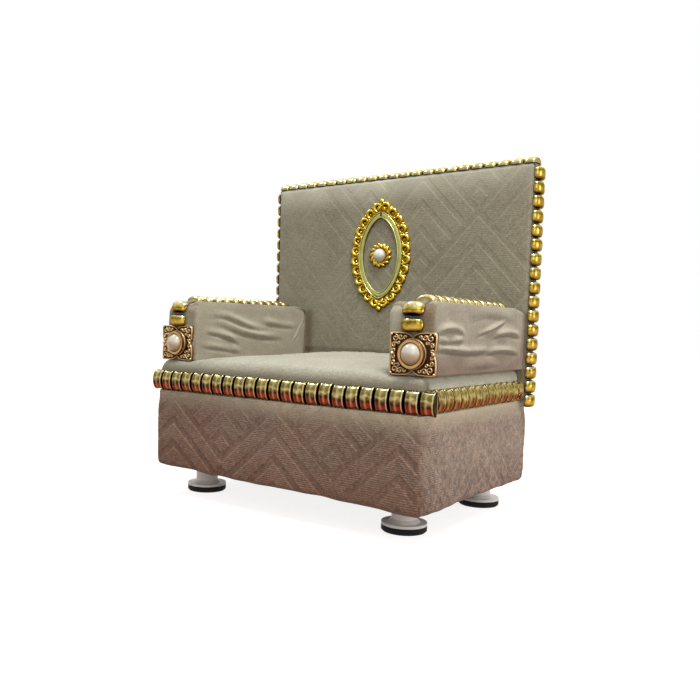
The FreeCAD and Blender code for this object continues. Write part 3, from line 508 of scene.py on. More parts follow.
class Padding:
    """A padded block with eased edges, as a fine grid. flat holds its points before easing."""

    def __init__(self, low, high, round_low, round_high, steps):
        """round_low and round_high round the edges by the low and the high corner, along each axis."""
        self.low, self.high = np.array(low, float), np.array(high, float)
        self.flat, self.faces, self.facing = box_grid(self.low, self.high, steps)
        core = np.clip(self.flat, self.low + round_low, self.high - round_high)
        radius = np.where(self.flat < core, round_low, round_high)
        away = (self.flat - core) / radius
        unit = away / np.linalg.norm(away, axis=1, keepdims=True)
        self.points = core + unit * radius
        slant = unit / radius
        self.normals = slant / np.linalg.norm(slant, axis=1, keepdims=True)
        self.hidden = np.zeros(len(self.faces), bool)

    def share(self, axis):
        """How far along an axis each flat point lies, from 0 to 1."""
        return (self.flat[:, axis] - self.low[axis]) / (self.high[axis] - self.low[axis])

    def lumps(self, size, seed, stretch=(1, 1, 1)):
        """Slow uneven swelling from a few seeded waves, from about -1 to 1."""
        rng = np.random.default_rng(SEED + seed)
        waves = 9
        total = np.zeros(len(self.flat))
        for _ in range(waves):
            direction = rng.normal(size=3)
            direction /= np.linalg.norm(direction)
            rate = FULL_TURN / (size * rng.uniform(0.7, 1.6))
            total += np.sin(self.flat * stretch @ direction * rate + rng.uniform(0, FULL_TURN))
        return total / math.sqrt(waves)

    def stains(self, size, seed):
        """Where the lumps stand out, from 0 to 1."""
        return np.clip(self.lumps(size, seed), 0, 1)

    def push(self, depth):
        """Move each point out along its normal."""
        self.points = self.points + self.normals * depth[:, None]

    def roll(self, radius, *sides):
        """Roll the edge between two sides, each an axis and a sign, over a larger radius."""
        (first, sign_a), (second, sign_b) = sides
        place_a, place_b = ((self.high if sign > 0 else self.low)[axis] for axis, sign in sides)
        a = radius - sign_a * (place_a - self.points[:, first])
        b = radius - sign_b * (place_b - self.points[:, second])
        scale = np.maximum(np.maximum(a, b), TINY) / np.maximum(np.hypot(a, b), TINY)
        corner = (a > 0) & (b > 0)
        self.points[corner, first] = (place_a + sign_a * (a * scale - radius))[corner]
        self.points[corner, second] = (place_b + sign_b * (b * scale - radius))[corner]

    def hide(self, axis, sign, margin):
        """Leave out one side's faces further than a margin inside its outline, where nothing shows."""
        middles = self.flat[self.faces].mean(axis=1)
        others = [other for other in range(3) if other != axis]
        inside = np.minimum(middles - self.low, self.high - middles)[:, others].min(axis=1)
        self.hidden |= (self.facing[:, 0] == axis) & (self.facing[:, 1] == sign) & (inside > margin)

    def cloth_place(self, points, axis, sign):
        """Where points of one side lie on the fabric laid out flat round the block's front."""
        x, y, z = points[..., 0], points[..., 1], points[..., 2]
        ahead = y - self.low[1]
        if axis == 0:
            return sign * (max(abs(self.low[0]), abs(self.high[0])) + ahead), z
        if axis == 1:
            return x, z
        return x, (self.high[2] + ahead if sign > 0 else self.low[2] - ahead)

    def finish(self, name, material, fill, slot="taupe_fabric", **wear_and_light):
        """Make the padded piece, with its cloth map and its attributes."""
        faces, facing = self.faces[~self.hidden], self.facing[~self.hidden]
        mesh = mesh_from(name, self.points, faces)
        put_attributes(mesh, **dict.fromkeys(WEAR_AND_LIGHT_LAYERS, 0.0) | wear_and_light)
        corners = np.zeros((len(faces), 4, 2), np.float32)
        for axis in range(3):
            for sign in (-1, 1):
                chosen = (facing[:, 0] == axis) & (facing[:, 1] == sign)
                places = self.cloth_place(self.flat[faces[chosen]], axis, sign)
                corners[chosen] = np.stack(places, -1)
        mesh.uv_layers.new(name="cloth").data.foreach_set("uv", corners.reshape(-1))
        close_openings(mesh)
        piece = add_object(name, mesh, material)
        return piece


# The chevron relief of the fabric

FRONT_WEAVE = dict(slope=0.86, apex=(2.0, 57.0), half_pitch=37.3, row_rise=38.4, band=9.4, groove=4.4,
                   inner_lines=0.5)
BACK_WEAVE = dict(slope=1.05, apex=(59.4, 168.0), half_pitch=37.3, row_rise=39.4, band=11.4, groove=4.2,
                  inner_lines=0.2)
RELIEF_DEPTH = 0.56


def chevrons(across, up, slope, apex, half_pitch, row_rise, band, groove, inner_lines):
    """Nested raised chevrons in rows that overlap like scales: the lower row lies in front."""
    gap, edge, rim_width, line_width = 4.6, 0.9, 0.42, 0.36
    relief = np.zeros(across.shape)
    rims = np.zeros(across.shape)
    open_ground = np.ones(across.shape, bool)
    for row in range(-4, 7):
        shift = apex[0] + (row % 2) * half_pitch
        from_apex = np.abs((across - shift + half_pitch) % (2 * half_pitch) - half_pitch)
        depth = apex[1] + row * row_rise - up - slope * from_apex
        claimed = open_ground & (depth > -gap)
        phase = np.mod(depth, band + groove)
        raised = eased(phase, 0, edge) * (1 - eased(phase, band - edge, band))
        rim = bell(phase - edge, rim_width) + bell(phase - band + edge, rim_width)
        for share in (0.36, 0.66):
            rim += inner_lines * bell(phase - share * band, line_width)
        height = raised + 0.35 * rim
        height[depth < 0] = 0
        relief[claimed] = height[claimed]
        rim[depth < 0] = 0
        rims[claimed] = rim[claimed]
        open_ground &= ~claimed
    return relief, np.clip(rims, 0, 1)


# The padded pieces

def base_piece():
    """The padded box of the base: its fabric is drawn round the lower edges and turned under."""
    rear_radius, drawn_in, hem, turned_under, lining_margin = 6.5, 9.0, 14.0, 10.5, 0.6
    bulges, bulge_start, pucker_depth = (1.5, 1.3), 50.0, 0.22
    sag_middle, sag_across, sag_rear = 0.45, 1.3, 0.15
    block = Padding(*box_mm("base_cover"), round_low=(2.4, 2.4, 3.4), round_high=(2.4, 2.4, 0.6),
                    steps=(0.5, 0.6, 0.5))
    x, y, z = block.flat.T
    low, (half_w, rear, top) = block.low, block.high
    height = block.share(2)
    side = np.abs(block.normals[:, 0]) > 0.7
    across = np.where(side, np.sign(block.normals[:, 0]) * (half_w + y - low[1]), x)
    relief, rims = chevrons(across, z, **FRONT_WEAVE)
    from_corner = np.where(side, np.minimum(y - low[1], rear - y), half_w - np.abs(x))
    upright = (1 - eased(np.abs(block.normals[:, 2]), 0.35, 0.9)) * eased(from_corner, 0.0, 3.0)
    clear = np.where(side, 0.4, 1.0) * np.clip(0.8 + 0.35 * block.lumps(70.0, seed=5), 0.25, 1.0)
    soft = 0.45 * block.lumps(60.0, seed=1, stretch=(1, 1, 1.6)) + 0.18 * block.lumps(18.0, seed=2)
    pull = eased(low[2] + drawn_in - block.points[:, 2], 0.0, drawn_in)
    puckers = pucker_depth * pull * block.lumps(15.0, seed=3, stretch=(1, 1, 0))
    block.push(RELIEF_DEPTH * relief * upright * clear + 0.5 * soft * eased(top - z, 0.0, 10.0) + puckers)
    lining_low, lining_high = box_mm("bottom_lining")
    inside = np.minimum(lining_high[:2] - block.flat[:, :2], block.flat[:, :2] - lining_low[:2]).min(-1)
    on_lining = (block.normals[:, 2] < -0.9) & (inside > -lining_margin)
    block.points[on_lining, 2] = lining_high[2] + 0.05
    swell = eased(top - z, 4.0, 14.0)
    block.points[:, 0] -= bulges[0] * swell * eased(-x, bulge_start, half_w)
    block.points[:, 0] += bulges[1] * swell * eased(x, bulge_start, half_w) * eased(y, 0.0, rear)
    sag = sag_middle + sag_across * x / half_w + sag_rear * y / rear
    sag *= eased(low[2] + hem - z, 0.0, hem)
    block.points[:, 2] -= np.where(on_lining, 0.0, sag)
    block.roll(rear_radius, (1, 1), (2, -1))
    block.hide(2, 1, 2.0)
    block.hide(2, -1, turned_under)
    # Darker and redder towards the bottom and at the sides' front corners: painted shade and red bounce
    # light; darker towards the left end; and real stains.
    grime = np.clip(0.9 - 1.9 * height, 0, 1) + 0.2 * block.stains(30.0, seed=4)
    grime *= np.where(side, 0.3, 1.0)
    near_corner = np.where(side, 1 - eased(y - low[1], 2.0, 20.0), 0.0)
    grime += 0.6 * near_corner * (1 - 0.6 * height) + 0.45 * eased(-x, 10.0, 80.0)
    # Painted light: lighter near the top of the front and of the sides, just under the beads.
    front_light = 1.45 * np.clip((height - 0.7) / 0.3, 0, 1) ** 1.8 * (0.6 + 0.4 * eased(x, -60.0, 20.0))
    side_light = 0.17 * eased(height, 0.1, 0.5) + 1.3 * np.clip((height - 0.76) / 0.24, 0, 1) ** 1.5
    base = block.finish("base_padding", "base", 0.8,
                        pile=np.clip(0.25 + 0.75 * relief, 0, 1) * upright + (1 - upright) * 0.5,
                        rim=rims * upright * clear, grime=np.clip(grime, 0, 1),
                        faded=np.where(side, side_light, front_light),
                        smooth=np.where(side, 0.65 * eased(y - low[1], 6.0, 30.0), 0.0),
                        mottle=np.where(side, 1.0, 0.4))
    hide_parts("base_cover")


def seat_piece():
    """The crowned seat: flat under the arms, rounded over the trim at the front and sides."""
    edge_height, shoulder, rear_fullness, weave_shift, arm_gap = 17.0, 2.5, 0.6, 20.0, 1.0
    relief_depth = 0.16
    low, high = box_mm("seat_cushion")
    edge_top = low[2] + edge_height
    block = Padding(low, (high[0], high[1], edge_top), round_low=(3.5, 6.5, 0.6),
                    round_high=(3.5, 0.8, 7.5), steps=(0.8, 0.7, 0.7))
    x, y, _ = block.flat.T
    arm_line = -box_mm("right_arm_cover")[1][0] + arm_gap
    inward = np.clip(1 - (x / arm_line) ** 2, 0, 1)
    behind = np.clip(block.share(1), 0, 1)
    crown = (high[2] - edge_top) * (0.42 + 0.58 * np.sqrt(behind)) * eased(behind, -0.02, 0.14)
    top = eased(block.points[:, 2], edge_top - shoulder, edge_top)
    block.points[:, 2] += inward ** 0.38 * (crown + rear_fullness * eased(behind, 0.1, 0.7)) * top
    relief, rims = chevrons(x, y + weave_shift, **FRONT_WEAVE)
    relief *= top
    soft = 0.30 * block.lumps(42.0, seed=11) + 0.10 * block.lumps(14.0, seed=12)
    block.push(relief_depth * relief + soft * eased(block.points[:, 2] - low[2], 6.0, 13.0))
    # Painted shade: darker low on the front roll, over the trim.
    over_trim = 1 - eased(block.points[:, 2] - low[2], 11.5, 19.0)
    over_trim *= 1 - eased(y - low[1], 5.0, 9.0)
    block.hide(2, -1, 1.0)
    seat = block.finish("seat_padding", "seat", 0.8, pile=0.55 + 0.3 * np.clip(relief, 0, 1),
                        rim=0.3 * rims * top, grime=0.10 * block.stains(26.0, seed=13) + over_trim)
    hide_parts("seat_cushion")


def back_piece():
    """The upright back, its front slightly full, its edges drawn in under the beads."""
    edge_reach, fullness, drawn_in, seat_line, crease = 15.0, 1.9, 1.0, 84.0, 3.2
    relief_depth, set_back, trim_shadow = 0.3 * RELIEF_DEPTH, 0.2, (3.1, 1.6)
    block = Padding(*box_mm("back_cover"), round_low=(1.8, 1.8, 0.4), round_high=(1.8, 0.5, 1.8),
                    steps=(0.55, 0.9, 0.55))
    x, _, z = block.flat.T
    half_w, _, top = block.high
    front = eased(-block.normals[:, 1], 0.5, 0.95)
    relief, rims = chevrons(x, z, **BACK_WEAVE)
    clear = front * (0.35 + 0.65 * eased(x + 0.4 * z, -10.0, 60.0))
    relief *= clear
    inward = np.clip(np.minimum(half_w - np.abs(x), top - z) / edge_reach, 0, 1)
    full = fullness * np.sqrt(1 - (1 - inward) ** 2) - drawn_in
    soft = 0.25 * block.lumps(55.0, seed=21) + 0.06 * block.lumps(16.0, seed=22)
    seated = eased(z, seat_line, seat_line + 4.0)
    block.points[:, 1] -= front * (relief_depth * relief + (full + soft) * seated - set_back)
    # Painted shade: darker close to the side beads and in the creases beside the arms, below the arm tops.
    beside = eased(np.abs(x), half_w - trim_shadow[0], half_w - trim_shadow[1])
    for side, sign in SIDES:
        arm_low, arm_high = box_mm(side + "_arm_cover")
        beside += bell(x - (arm_high[0] if sign < 0 else arm_low[0]), crease)
        arm_top = arm_high[2]
    grime = 0.10 + 0.04 * block.stains(30.0, seed=23)
    grime += 0.9 * beside * (1 - eased(z, arm_top - 3.0, arm_top + 2.0))
    # Painted light: lighter towards the top, less so towards +X.
    faded = eased(z, top - 20.0, top - 2.0) * (1.15 + 0.2 * block.lumps(34.0, seed=24))
    faded *= 1.0 - 0.45 * eased(x, 0.0, half_w)
    block.hide(1, 1, 1.0)
    block.hide(2, -1, 1.0)
    back = block.finish("back_padding", "back", 0.5, pile=np.clip(0.3 + 0.7 * relief, 0, 1),
                        rim=rims * clear, grime=grime, faded=faded)
    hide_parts("back_cover")


def lining_piece():
    """The cloth glued over the rear of the back, its rim pressed flat."""
    set_back, waviness = 0.35, 0.22
    block = Padding(*box_mm("back_lining"), round_low=(0.9, 0.4, 0.4), round_high=(0.9, 0.9, 0.9),
                    steps=(1.6, 1.0, 1.6))
    rear = eased(block.normals[:, 1], 0.5, 0.95)
    block.points[:, 1] -= rear * (set_back - waviness * block.lumps(40.0, seed=41))
    block.hide(1, -1, 1.0)
    piece = block.finish("back_lining_cloth", "back", 0.2, "lining_cloth", pile=0.5)
    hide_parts("back_lining")


# Rolls in an arm's fabric: their course along and up its side in percent, then each roll's height and
# half width in millimetres, and how deep the crease below it is
OUTER_FOLDS = (
    (((2, 60), (10, 66), (20, 67), (31, 60)), 1.5, 1.7, 0.3),
    (((4, 51), (16, 50), (30, 52)), 1.0, 1.6, 0.7),
    (((46, 60), (56, 66), (66, 73), (76, 80)), 1.4, 1.1, 0.8),
    (((62, 57), (72, 62), (82, 63), (93, 59)), 1.6, 1.7, 0.9),
    (((3, 39), (16, 38), (34, 35), (55, 37)), 1.6, 1.7, 0.9),
    (((53, 32), (66, 35), (78, 35), (92, 31)), 1.4, 1.6, 0.8),
    (((26, 12), (55, 15), (80, 12)), 0.5, 2.6, 0.2),
    (((36, 86), (60, 92), (90, 86)), 0.4, 2.6, 0.2),
)
INNER_FOLDS = (
    (((12, 80), (26, 78), (40, 66), (58, 60)), 1.3, 2.0, 0.4),
    (((16, 70), (28, 60), (44, 50), (72, 44)), 1.3, 2.2, 0.5),
    (((8, 52), (20, 47), (34, 34)), 1.2, 1.7, 0.5),
    (((52, 74), (70, 68), (86, 66)), 0.8, 2.0, 0.3),
    (((4, 30), (20, 24), (36, 18)), 0.7, 1.8, 0.3),
    (((84, 30), (90, 55), (97, 82)), 0.6, 0.9, 0.3),
)
FOLD_STRENGTH = 1.4


def fold_depth(along, up, folds, tall):
    """How far the rolls and creases move the fabric out, on a side that is tall millimetres high."""
    long_share = 3.2
    total = np.zeros(along.shape)
    for line, height, half_width, crease in folds:
        spots = np.array(line) / 100
        knots = np.linspace(0, 1, len(line))
        share = np.linspace(0, 1, 25)
        degree = min(3, len(line) - 1)
        fits = (np.polyfit(knots, spots[:, axis], degree) for axis in (0, 1))
        curve_a, curve_u = (np.polyval(fit, share) for fit in fits)
        slope = np.gradient(curve_u * tall) / np.maximum(np.gradient(curve_a * long_share * tall), TINY)
        lean = np.cos(np.arctan(np.interp(along, curve_a, slope)))
        off = (up - np.interp(along, curve_a, curve_u)) * tall * lean
        run = (along - curve_a[0]) / (curve_a[-1] - curve_a[0])
        ends = eased(run, -0.10, 0.30) * (1 - eased(run, 0.70, 1.10))
        swell = 0.75 + 0.25 * np.sin(run * 9.0 + 7 * height)
        below = crease * bell(off + 1.35 * half_width, 0.55 * half_width)
        total += ends * (height * swell * bell(off, half_width) - below)
    return FOLD_STRENGTH * total


def arm_piece(side, sign):
    """One padded arm, its fabric gathered in puckers on both faces."""
    front_radius, rear_radius, inner_radius = 6.3, 4.0, 5.0
    inner_taper, outer_flare, strip_bed, rear_drop, settled = 2.2, 1.3, 1.1, 2.0, 0.25
    gather_depth, gather_rate = 0.16, 2.1
    block = Padding(*box_mm(side + "_arm_cover"), round_low=(2.4, 2.4, 0.5), round_high=(2.4, 0.8, 2.4),
                    steps=(0.8, 0.6, 0.6))
    block.roll(front_radius, (1, -1), (2, 1))
    block.roll(rear_radius, (1, 1), (2, 1))
    block.roll(inner_radius, (0, -sign), (1, 1))
    x, y, z = block.flat.T
    along, up = block.share(1), block.share(2)
    tall = block.high[2] - block.low[2]
    across = x - (block.low[0] + block.high[0]) / 2
    outer = eased(block.normals[:, 0] * sign, 0.5, 0.95)
    inner = eased(-block.normals[:, 0] * sign, 0.5, 0.95)
    step = 0.01
    under, folds, over = (fold_depth(along, up + shift, OUTER_FOLDS, tall) * outer
                          + fold_depth(along, up + shift, INNER_FOLDS, tall) * inner
                          for shift in (-step, 0.0, step))
    facing_up = (under - over) / (2 * step * tall)
    gathers = gather_depth * np.sin(y * gather_rate + 0.4 * np.sin(z * 0.4)) * bell(up - 0.55, 0.09)
    gathers *= eased(along, 0.03, 0.1) * (1 - eased(along, 0.26, 0.34)) * outer
    soft = 0.28 * block.lumps(24.0, seed=31 + int(sign)) + 0.10 * block.lumps(9.0, seed=33)
    loose = eased(up, 0.0, 0.12) * (1 - 0.8 * eased(block.normals[:, 2], 0.6, 0.9))
    block.push((folds + gathers + soft) * loose - settled)
    block.points[:, 0] += sign * (inner_taper * inner * eased(along, 0.76, 1.0)
                                  + outer_flare * outer * eased(along, 0.8, 1.0))
    fuller = strip_bed * eased(np.abs(across), 5.8, 7.8) - rear_drop * eased(along, 0.9, 1.0)
    block.points[:, 2] += eased(block.normals[:, 2], 0.2, 0.8) * fuller
    block.points[:, 2] = np.maximum(block.points[:, 2], block.low[2])
    block.hide(2, -1, 1.0)
    tucked = eased(along, 0.95, 0.985)
    ahead = eased(-block.normals[:, 1], 0.2, 0.8)
    outside = eased(sign * across, 0.0, 6.0)
    # Painted shade: darker in the tucked rear crease, in the creases below the folds and on the lower outer
    # face, pinker there from red bounce light; and real stains.
    grime = tucked + 0.4 * np.clip(-folds, 0, 1) + 0.15 * block.stains(20.0, seed=35)
    grime += (1 - eased(up, 0.05, 0.46)) * outer
    # Left arm: painted shade on the front outside the strip and painted light inside it; right arm: painted
    # light on the inner face.
    if side == "left":
        grime += 0.8 * ahead * outside
        faded = 0.7 * ahead * (1 - outside)
    else:
        faded = 0.35 * inner
    # Painted highlight on fold slopes that face up, painted shade on slopes that face down and in the tucked
    # rear crease.
    arm = block.finish(side + "_arm_padding", "arm", 0.6, grime=grime, faded=faded,
                       pile=(1 - tucked) * (1.0 - np.clip(-1.7 * facing_up, 0, 1)),
                       rim=np.clip(1.4 * facing_up, 0, 1))
    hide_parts(side + "_arm_cover")


# Beaded trim

BEAD_PITCH = 8.0
BEAD_LENGTH = 6.7
SHORT_BEAD_PITCH = 6.7
SHORT_BEAD_LENGTH = 6.2

# Rows round a bead: its share of the length, of the full size, of brightness (low at the ends: painted shade
# in the gaps), and of painted rim highlight
FLARED_PROFILE = (
    (0.0, 0.62, 0.0, 0.0), (0.0, 0.90, 0.0, 0.0), (0.03, 0.97, 0.35, 0.0), (0.08, 0.99, 0.75, 0.1),
    (0.16, 0.95, 0.55, 0.0), (0.28, 0.91, 0.8, 0.0), (0.40, 0.89, 1.0, 0.3), (0.52, 0.885, 1.0, 0.0),
    (0.70, 0.905, 0.75, 0.0), (0.84, 0.955, 0.7, 0.0), (0.90, 0.995, 1.0, 0.55), (0.94, 1.0, 1.0, 0.55),
    (0.97, 0.97, 0.5, 0.0), (1.0, 0.90, 0.0, 0.0), (1.0, 0.62, 0.0, 0.0))
# A pillow's half: its share of the length, of the full size, and of brightness (low at the ends: painted
# shade in the gaps)
PILLOW_HALF = ((0.0, 0.40, 0.0), (0.0, 0.64, 0.12), (0.035, 0.78, 0.5), (0.11, 0.90, 0.85),
               (0.24, 0.97, 1.0), (0.38, 0.995, 1.0), (0.5, 1.0, 1.0))
PILLOW_PROFILE = (tuple((along, size, bright_share, 0.0) for along, size, bright_share in PILLOW_HALF)
                  + tuple((1.0 - along, size, bright_share, 0.0) for along, size, bright_share in PILLOW_HALF[-2::-1]))


def bead_template(length, width, height, pillow):
    """One half-round bead along +X, flared or full in its middle, its back flat on z = 0, and its painted
    shade and highlight at each point.
    """
    across, fullness = 26, 0.9
    profile = PILLOW_PROFILE if pillow else FLARED_PROFILE
    points, wear_and_light, faces = [], [], []
    for along, scale, bright_share, rim in profile:
        narrowing = scale if pillow else (1 + scale) / 2
        for index in range(across + 1):
            angle = math.pi * index / across
            points.append((along * length, -math.cos(angle) * width / 2 * narrowing,
                           max(math.sin(angle), 0.0) ** fullness * height * scale))
            wear_and_light.append((bright_share, rim))
    rows = len(profile)
    for row in range(rows - 1):
        for index in range(across):
            a = row * (across + 1) + index
            faces.append((a, a + 1, a + across + 2, a + across + 1))
    last = (rows - 1) * (across + 1)
    faces.append(tuple(reversed(range(across + 1))))
    faces.append(tuple(range(last, last + across + 1)))
    faces.append(tuple([row * (across + 1) for row in reversed(range(rows))]
                       + [row * (across + 1) + across for row in range(rows)]))
    return np.array(points), faces, np.array(wear_and_light)


def cast_beads(name, node, points, faces, wear_and_light, pillow):
    """The beads as one piece, with a redder painted reflection towards the front, in place of their CAD
    node.
    """
    mesh = mesh_from(name, points, faces)
    on_top, on_side = "_top_" in node, "_side_" in node
    # Top rows get little painted gap shade and a painted highlight all along; side rows less gap shade and
    # half the rim highlight; the red painted reflection grows towards the front.
    put_attributes(mesh, pile=np.maximum(wear_and_light[:, 0], 0.8 if on_top else 0.45 * on_side),
                   rim=np.maximum(wear_and_light[:, 1] * (0.5 if on_side else 1.0), 0.28 * on_top),
                   warm=0.1 + 0.9 * eased(-points[:, 1], 20.0, 60.0))
    piece = add_object(name, mesh, "pillow" if pillow else "bead")
    crease = piece.modifiers.new("crease", "EDGE_SPLIT")
    crease.split_angle = math.radians(50)
    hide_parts(node)


def laid(template, origin, along, outward):
    """A template's points from an origin, its length along one direction and its top outward."""
    return origin + template @ np.stack([along, np.cross(outward, along), outward])


def bead_row(node, along, outward, pillow=True, pitch=BEAD_PITCH, length=BEAD_LENGTH):
    """A row of beads in place of the CAD row, each set by hand a little unevenly."""
    tilt, slip, sway, thinnest, overlap = 0.012, 0.12, 0.1, 0.965, 0.5
    thicker = 1.18 if node == "back_top_beads" else 1.0
    low, high = box_mm(node)
    axis = int(np.argmax(np.abs(along)))
    out_axis = int(np.argmax(np.abs(outward)))
    side_axis = 3 - axis - out_axis
    count = int(round((high[axis] - low[axis] - length) / pitch)) + 1
    back = low[out_axis] if sum(outward) > 0 else high[out_axis]
    cast_length = length + (overlap if pillow and count > 1 else 0.0)
    template, faces, wear_and_light = bead_template(cast_length, high[side_axis] - low[side_axis],
                                          (high[out_axis] - low[out_axis]) * thicker, pillow)
    rng = np.random.default_rng(SEED + sum(ord(letter) for letter in node))
    all_points, all_faces = [], []
    for index in range(count):
        turn = rng.normal(0, tilt)
        x, y, z = (template - (cast_length / 2, 0, 0)).T
        spun = np.stack([x * math.cos(turn) - y * math.sin(turn), x * math.sin(turn) + y * math.cos(turn),
                         z * rng.uniform(thinnest, 1.0)], -1)
        origin = np.zeros(3)
        origin[axis] = low[axis] + length / 2 + index * pitch + rng.uniform(-slip, slip)
        origin[side_axis] = (low[side_axis] + high[side_axis]) / 2 + rng.normal(0, sway)
        origin[out_axis] = back
        all_faces += [tuple(i + index * len(template) for i in face) for face in faces]
        all_points.append(laid(spun, origin, along, outward))
    cast_beads(node + "_row", node, np.concatenate(all_points), all_faces, np.tile(wear_and_light, (count, 1)), pillow)


def bend_bead(side):
    """The bead that leans back where an arm's strip turns over the front edge."""
    node = side + "_arm_bend_bead"
    lean = math.radians(27.0)
    length, height = SHORT_BEAD_LENGTH, 3.7
    low, high = box_mm(node)
    template, faces, wear_and_light = bead_template(length, high[0] - low[0], height, True)
    rising = np.array((0.0, math.sin(lean), math.cos(lean)))
    outward = np.array((0.0, -math.cos(lean), math.sin(lean)))
    start = np.array(((low[0] + high[0]) / 2, high[1] - length * math.sin(lean), low[2]))
    cast_beads(node + "_cast", node, laid(template, start, rising, outward), faces, wear_and_light, True)


def all_beads():
    bead_row("front_beads", (1, 0, 0), (0, -1, 0), pillow=False)
    bead_row("back_top_beads", (1, 0, 0), (0, 0, 1))
    for side, sign in SIDES:
        bead_row(side + "_side_beads", (0, 1, 0), (sign, 0, 0), pillow=False)
        bead_row("back_%s_beads" % side, (0, 0, 1), (sign, 0, 0))
        bead_row(side + "_arm_top_beads", (0, 1, 0), (0, 0, 1))
        bead_row(side + "_arm_front_bead", (0, 0, 1), (0, -1, 0), True, SHORT_BEAD_PITCH, SHORT_BEAD_LENGTH)
        bend_bead(side)


# Forms for brooches: paths hold (x, z) points, and -Y is out

def ring_faces(rings, sides, closed):
    """Faces between rings of points, each ring joined to the one after it."""
    faces = []
    for ring in range(rings if closed else rings - 1):
        here, after = ring * sides, (ring + 1) % rings * sides
        for side in range(sides):
            nearby = (side + 1) % sides
            faces.append((here + side, here + nearby, after + nearby, after + side))
    return faces


def swept_wire(path, radius, sides=8, closed=False, flatten=1.0, base=0.0):
    """A round wire along a path, lying on the plane y = base. Its radius is one size or one a point."""
    path = np.asarray(path, float)
    count = len(path)
    if closed:
        ahead, behind = np.roll(path, -1, 0), np.roll(path, 1, 0)
    else:
        ahead = np.vstack([path[1:], path[-1] * 2 - path[-2]])
        behind = np.vstack([path[0] * 2 - path[1], path[:-1]])
    run = ahead - behind
    run /= np.linalg.norm(run, axis=1, keepdims=True)
    normal = np.stack([-run[:, 1], run[:, 0]], -1)
    radii = np.zeros(count) + radius
    points = []
    for place, aside, reach in zip(path, normal, radii):
        for corner in range(sides):
            angle = FULL_TURN * corner / sides
            x, z = place + aside * (math.cos(angle) * reach)
            points.append((x, base - reach * flatten - math.sin(angle) * reach * flatten, z))
    faces = ring_faces(count, sides, closed)
    if not closed:
        faces.append(tuple(range(sides))[::-1])
        faces.append(tuple(range((count - 1) * sides, count * sides)))
    return points, faces


def ball(centre, radii, rings, sides):
    """A ball or a flattened ball about (x, y, z)."""
    points = []
    for ring in range(rings + 1):
        polar = math.pi * ring / rings
        for side in range(sides):
            angle = FULL_TURN * side / sides
            points.append((centre[0] + radii[0] * math.sin(polar) * math.cos(angle),
                           centre[1] - radii[1] * math.cos(polar),
                           centre[2] + radii[2] * math.sin(polar) * math.sin(angle)))
    return points, ring_faces(rings + 1, sides, False)


def ribbon_band(outer, inner, thick, crown):
    """A flat raised band between two closed paths with as many points, crowned in its middle."""
    rows = ((0.0, 0.0), (0.0, 0.75), (0.18, 1.0), (0.5, 1.0 + crown), (0.82, 1.0), (1.0, 0.75), (1.0, 0.0))
    points = []
    for share, lift in rows:
        points += [(x, -thick * lift, z) for x, z in outer * (1 - share) + inner * share]
    return points, ring_faces(len(rows), len(outer), True)


def almond_path(half_width, half_height, count):
    """A pointed oval, an ellipse drawn in at its tips."""
    angles = np.linspace(-math.pi / 2, math.pi / 2, count + 1)
    right = np.stack([half_width * np.maximum(np.cos(angles), 0) ** 1.25, half_height * np.sin(angles)], -1)
    return np.concatenate([right[:-1], -right[:-1]])


def spiral(centre, start_angle, turns, radius, hand, count):
    """A scroll that winds in to its centre."""
    shares = np.linspace(0, 1, count)
    angles = start_angle + hand * turns * FULL_TURN * shares
    reach = radius * (1 - 0.78 * shares)
    return np.stack([centre[0] + reach * np.cos(angles), centre[1] + reach * np.sin(angles)], -1)


def ring_path(centre, radius, tilt, squash, count):
    """An oval ring, its long axis tilted."""
    angles = np.linspace(0, FULL_TURN, count, endpoint=False)
    a, b = radius * np.cos(angles), radius * squash * np.sin(angles)
    return np.stack([centre[0] + a * math.cos(tilt) - b * math.sin(tilt),
                     centre[1] + a * math.sin(tilt) + b * math.cos(tilt)], -1)


def circle(radius, count):
    return ring_path((0.0, 0.0), radius, 0.0, 1.0, count)


class Heap:
    """Collects several simple forms into one mesh."""

    def __init__(self):
        self.points, self.faces, self.pile = [], [], []

    def take(self, form, pile=1.0):
        points, faces = form
        start = len(self.points)
        self.points += [tuple(p) for p in points]
        self.faces += [tuple(i + start for i in face) for face in faces]
        self.pile += [pile] * len(points)

    def make(self, name, material, move):
        mesh = mesh_from(name, np.array(self.points) + np.array(move), self.faces)
        put_attributes(mesh, pile=self.pile)
        fixer = bmesh.new()
        fixer.from_mesh(mesh)
        bmesh.ops.remove_doubles(fixer, verts=fixer.verts, dist=1e-7)
        bmesh.ops.recalc_face_normals(fixer, faces=fixer.faces)
        fixer.to_mesh(mesh)
        fixer.free()
        return add_object(name, mesh, material)


def seat_of(node):
    """The middle of a brooch's rear face, and half its width and height."""
    low, high = box_mm(node)
    middle, half = (low + high) / 2, (high - low) / 2
    return (middle[0], high[1], middle[2]), half[0], half[2]


# Brooches

OVAL_OPENING = (12.7, 23.5)
OVAL_BAND = 3.0
OVAL_THICK = 2.4
OVAL_COUNT = 56


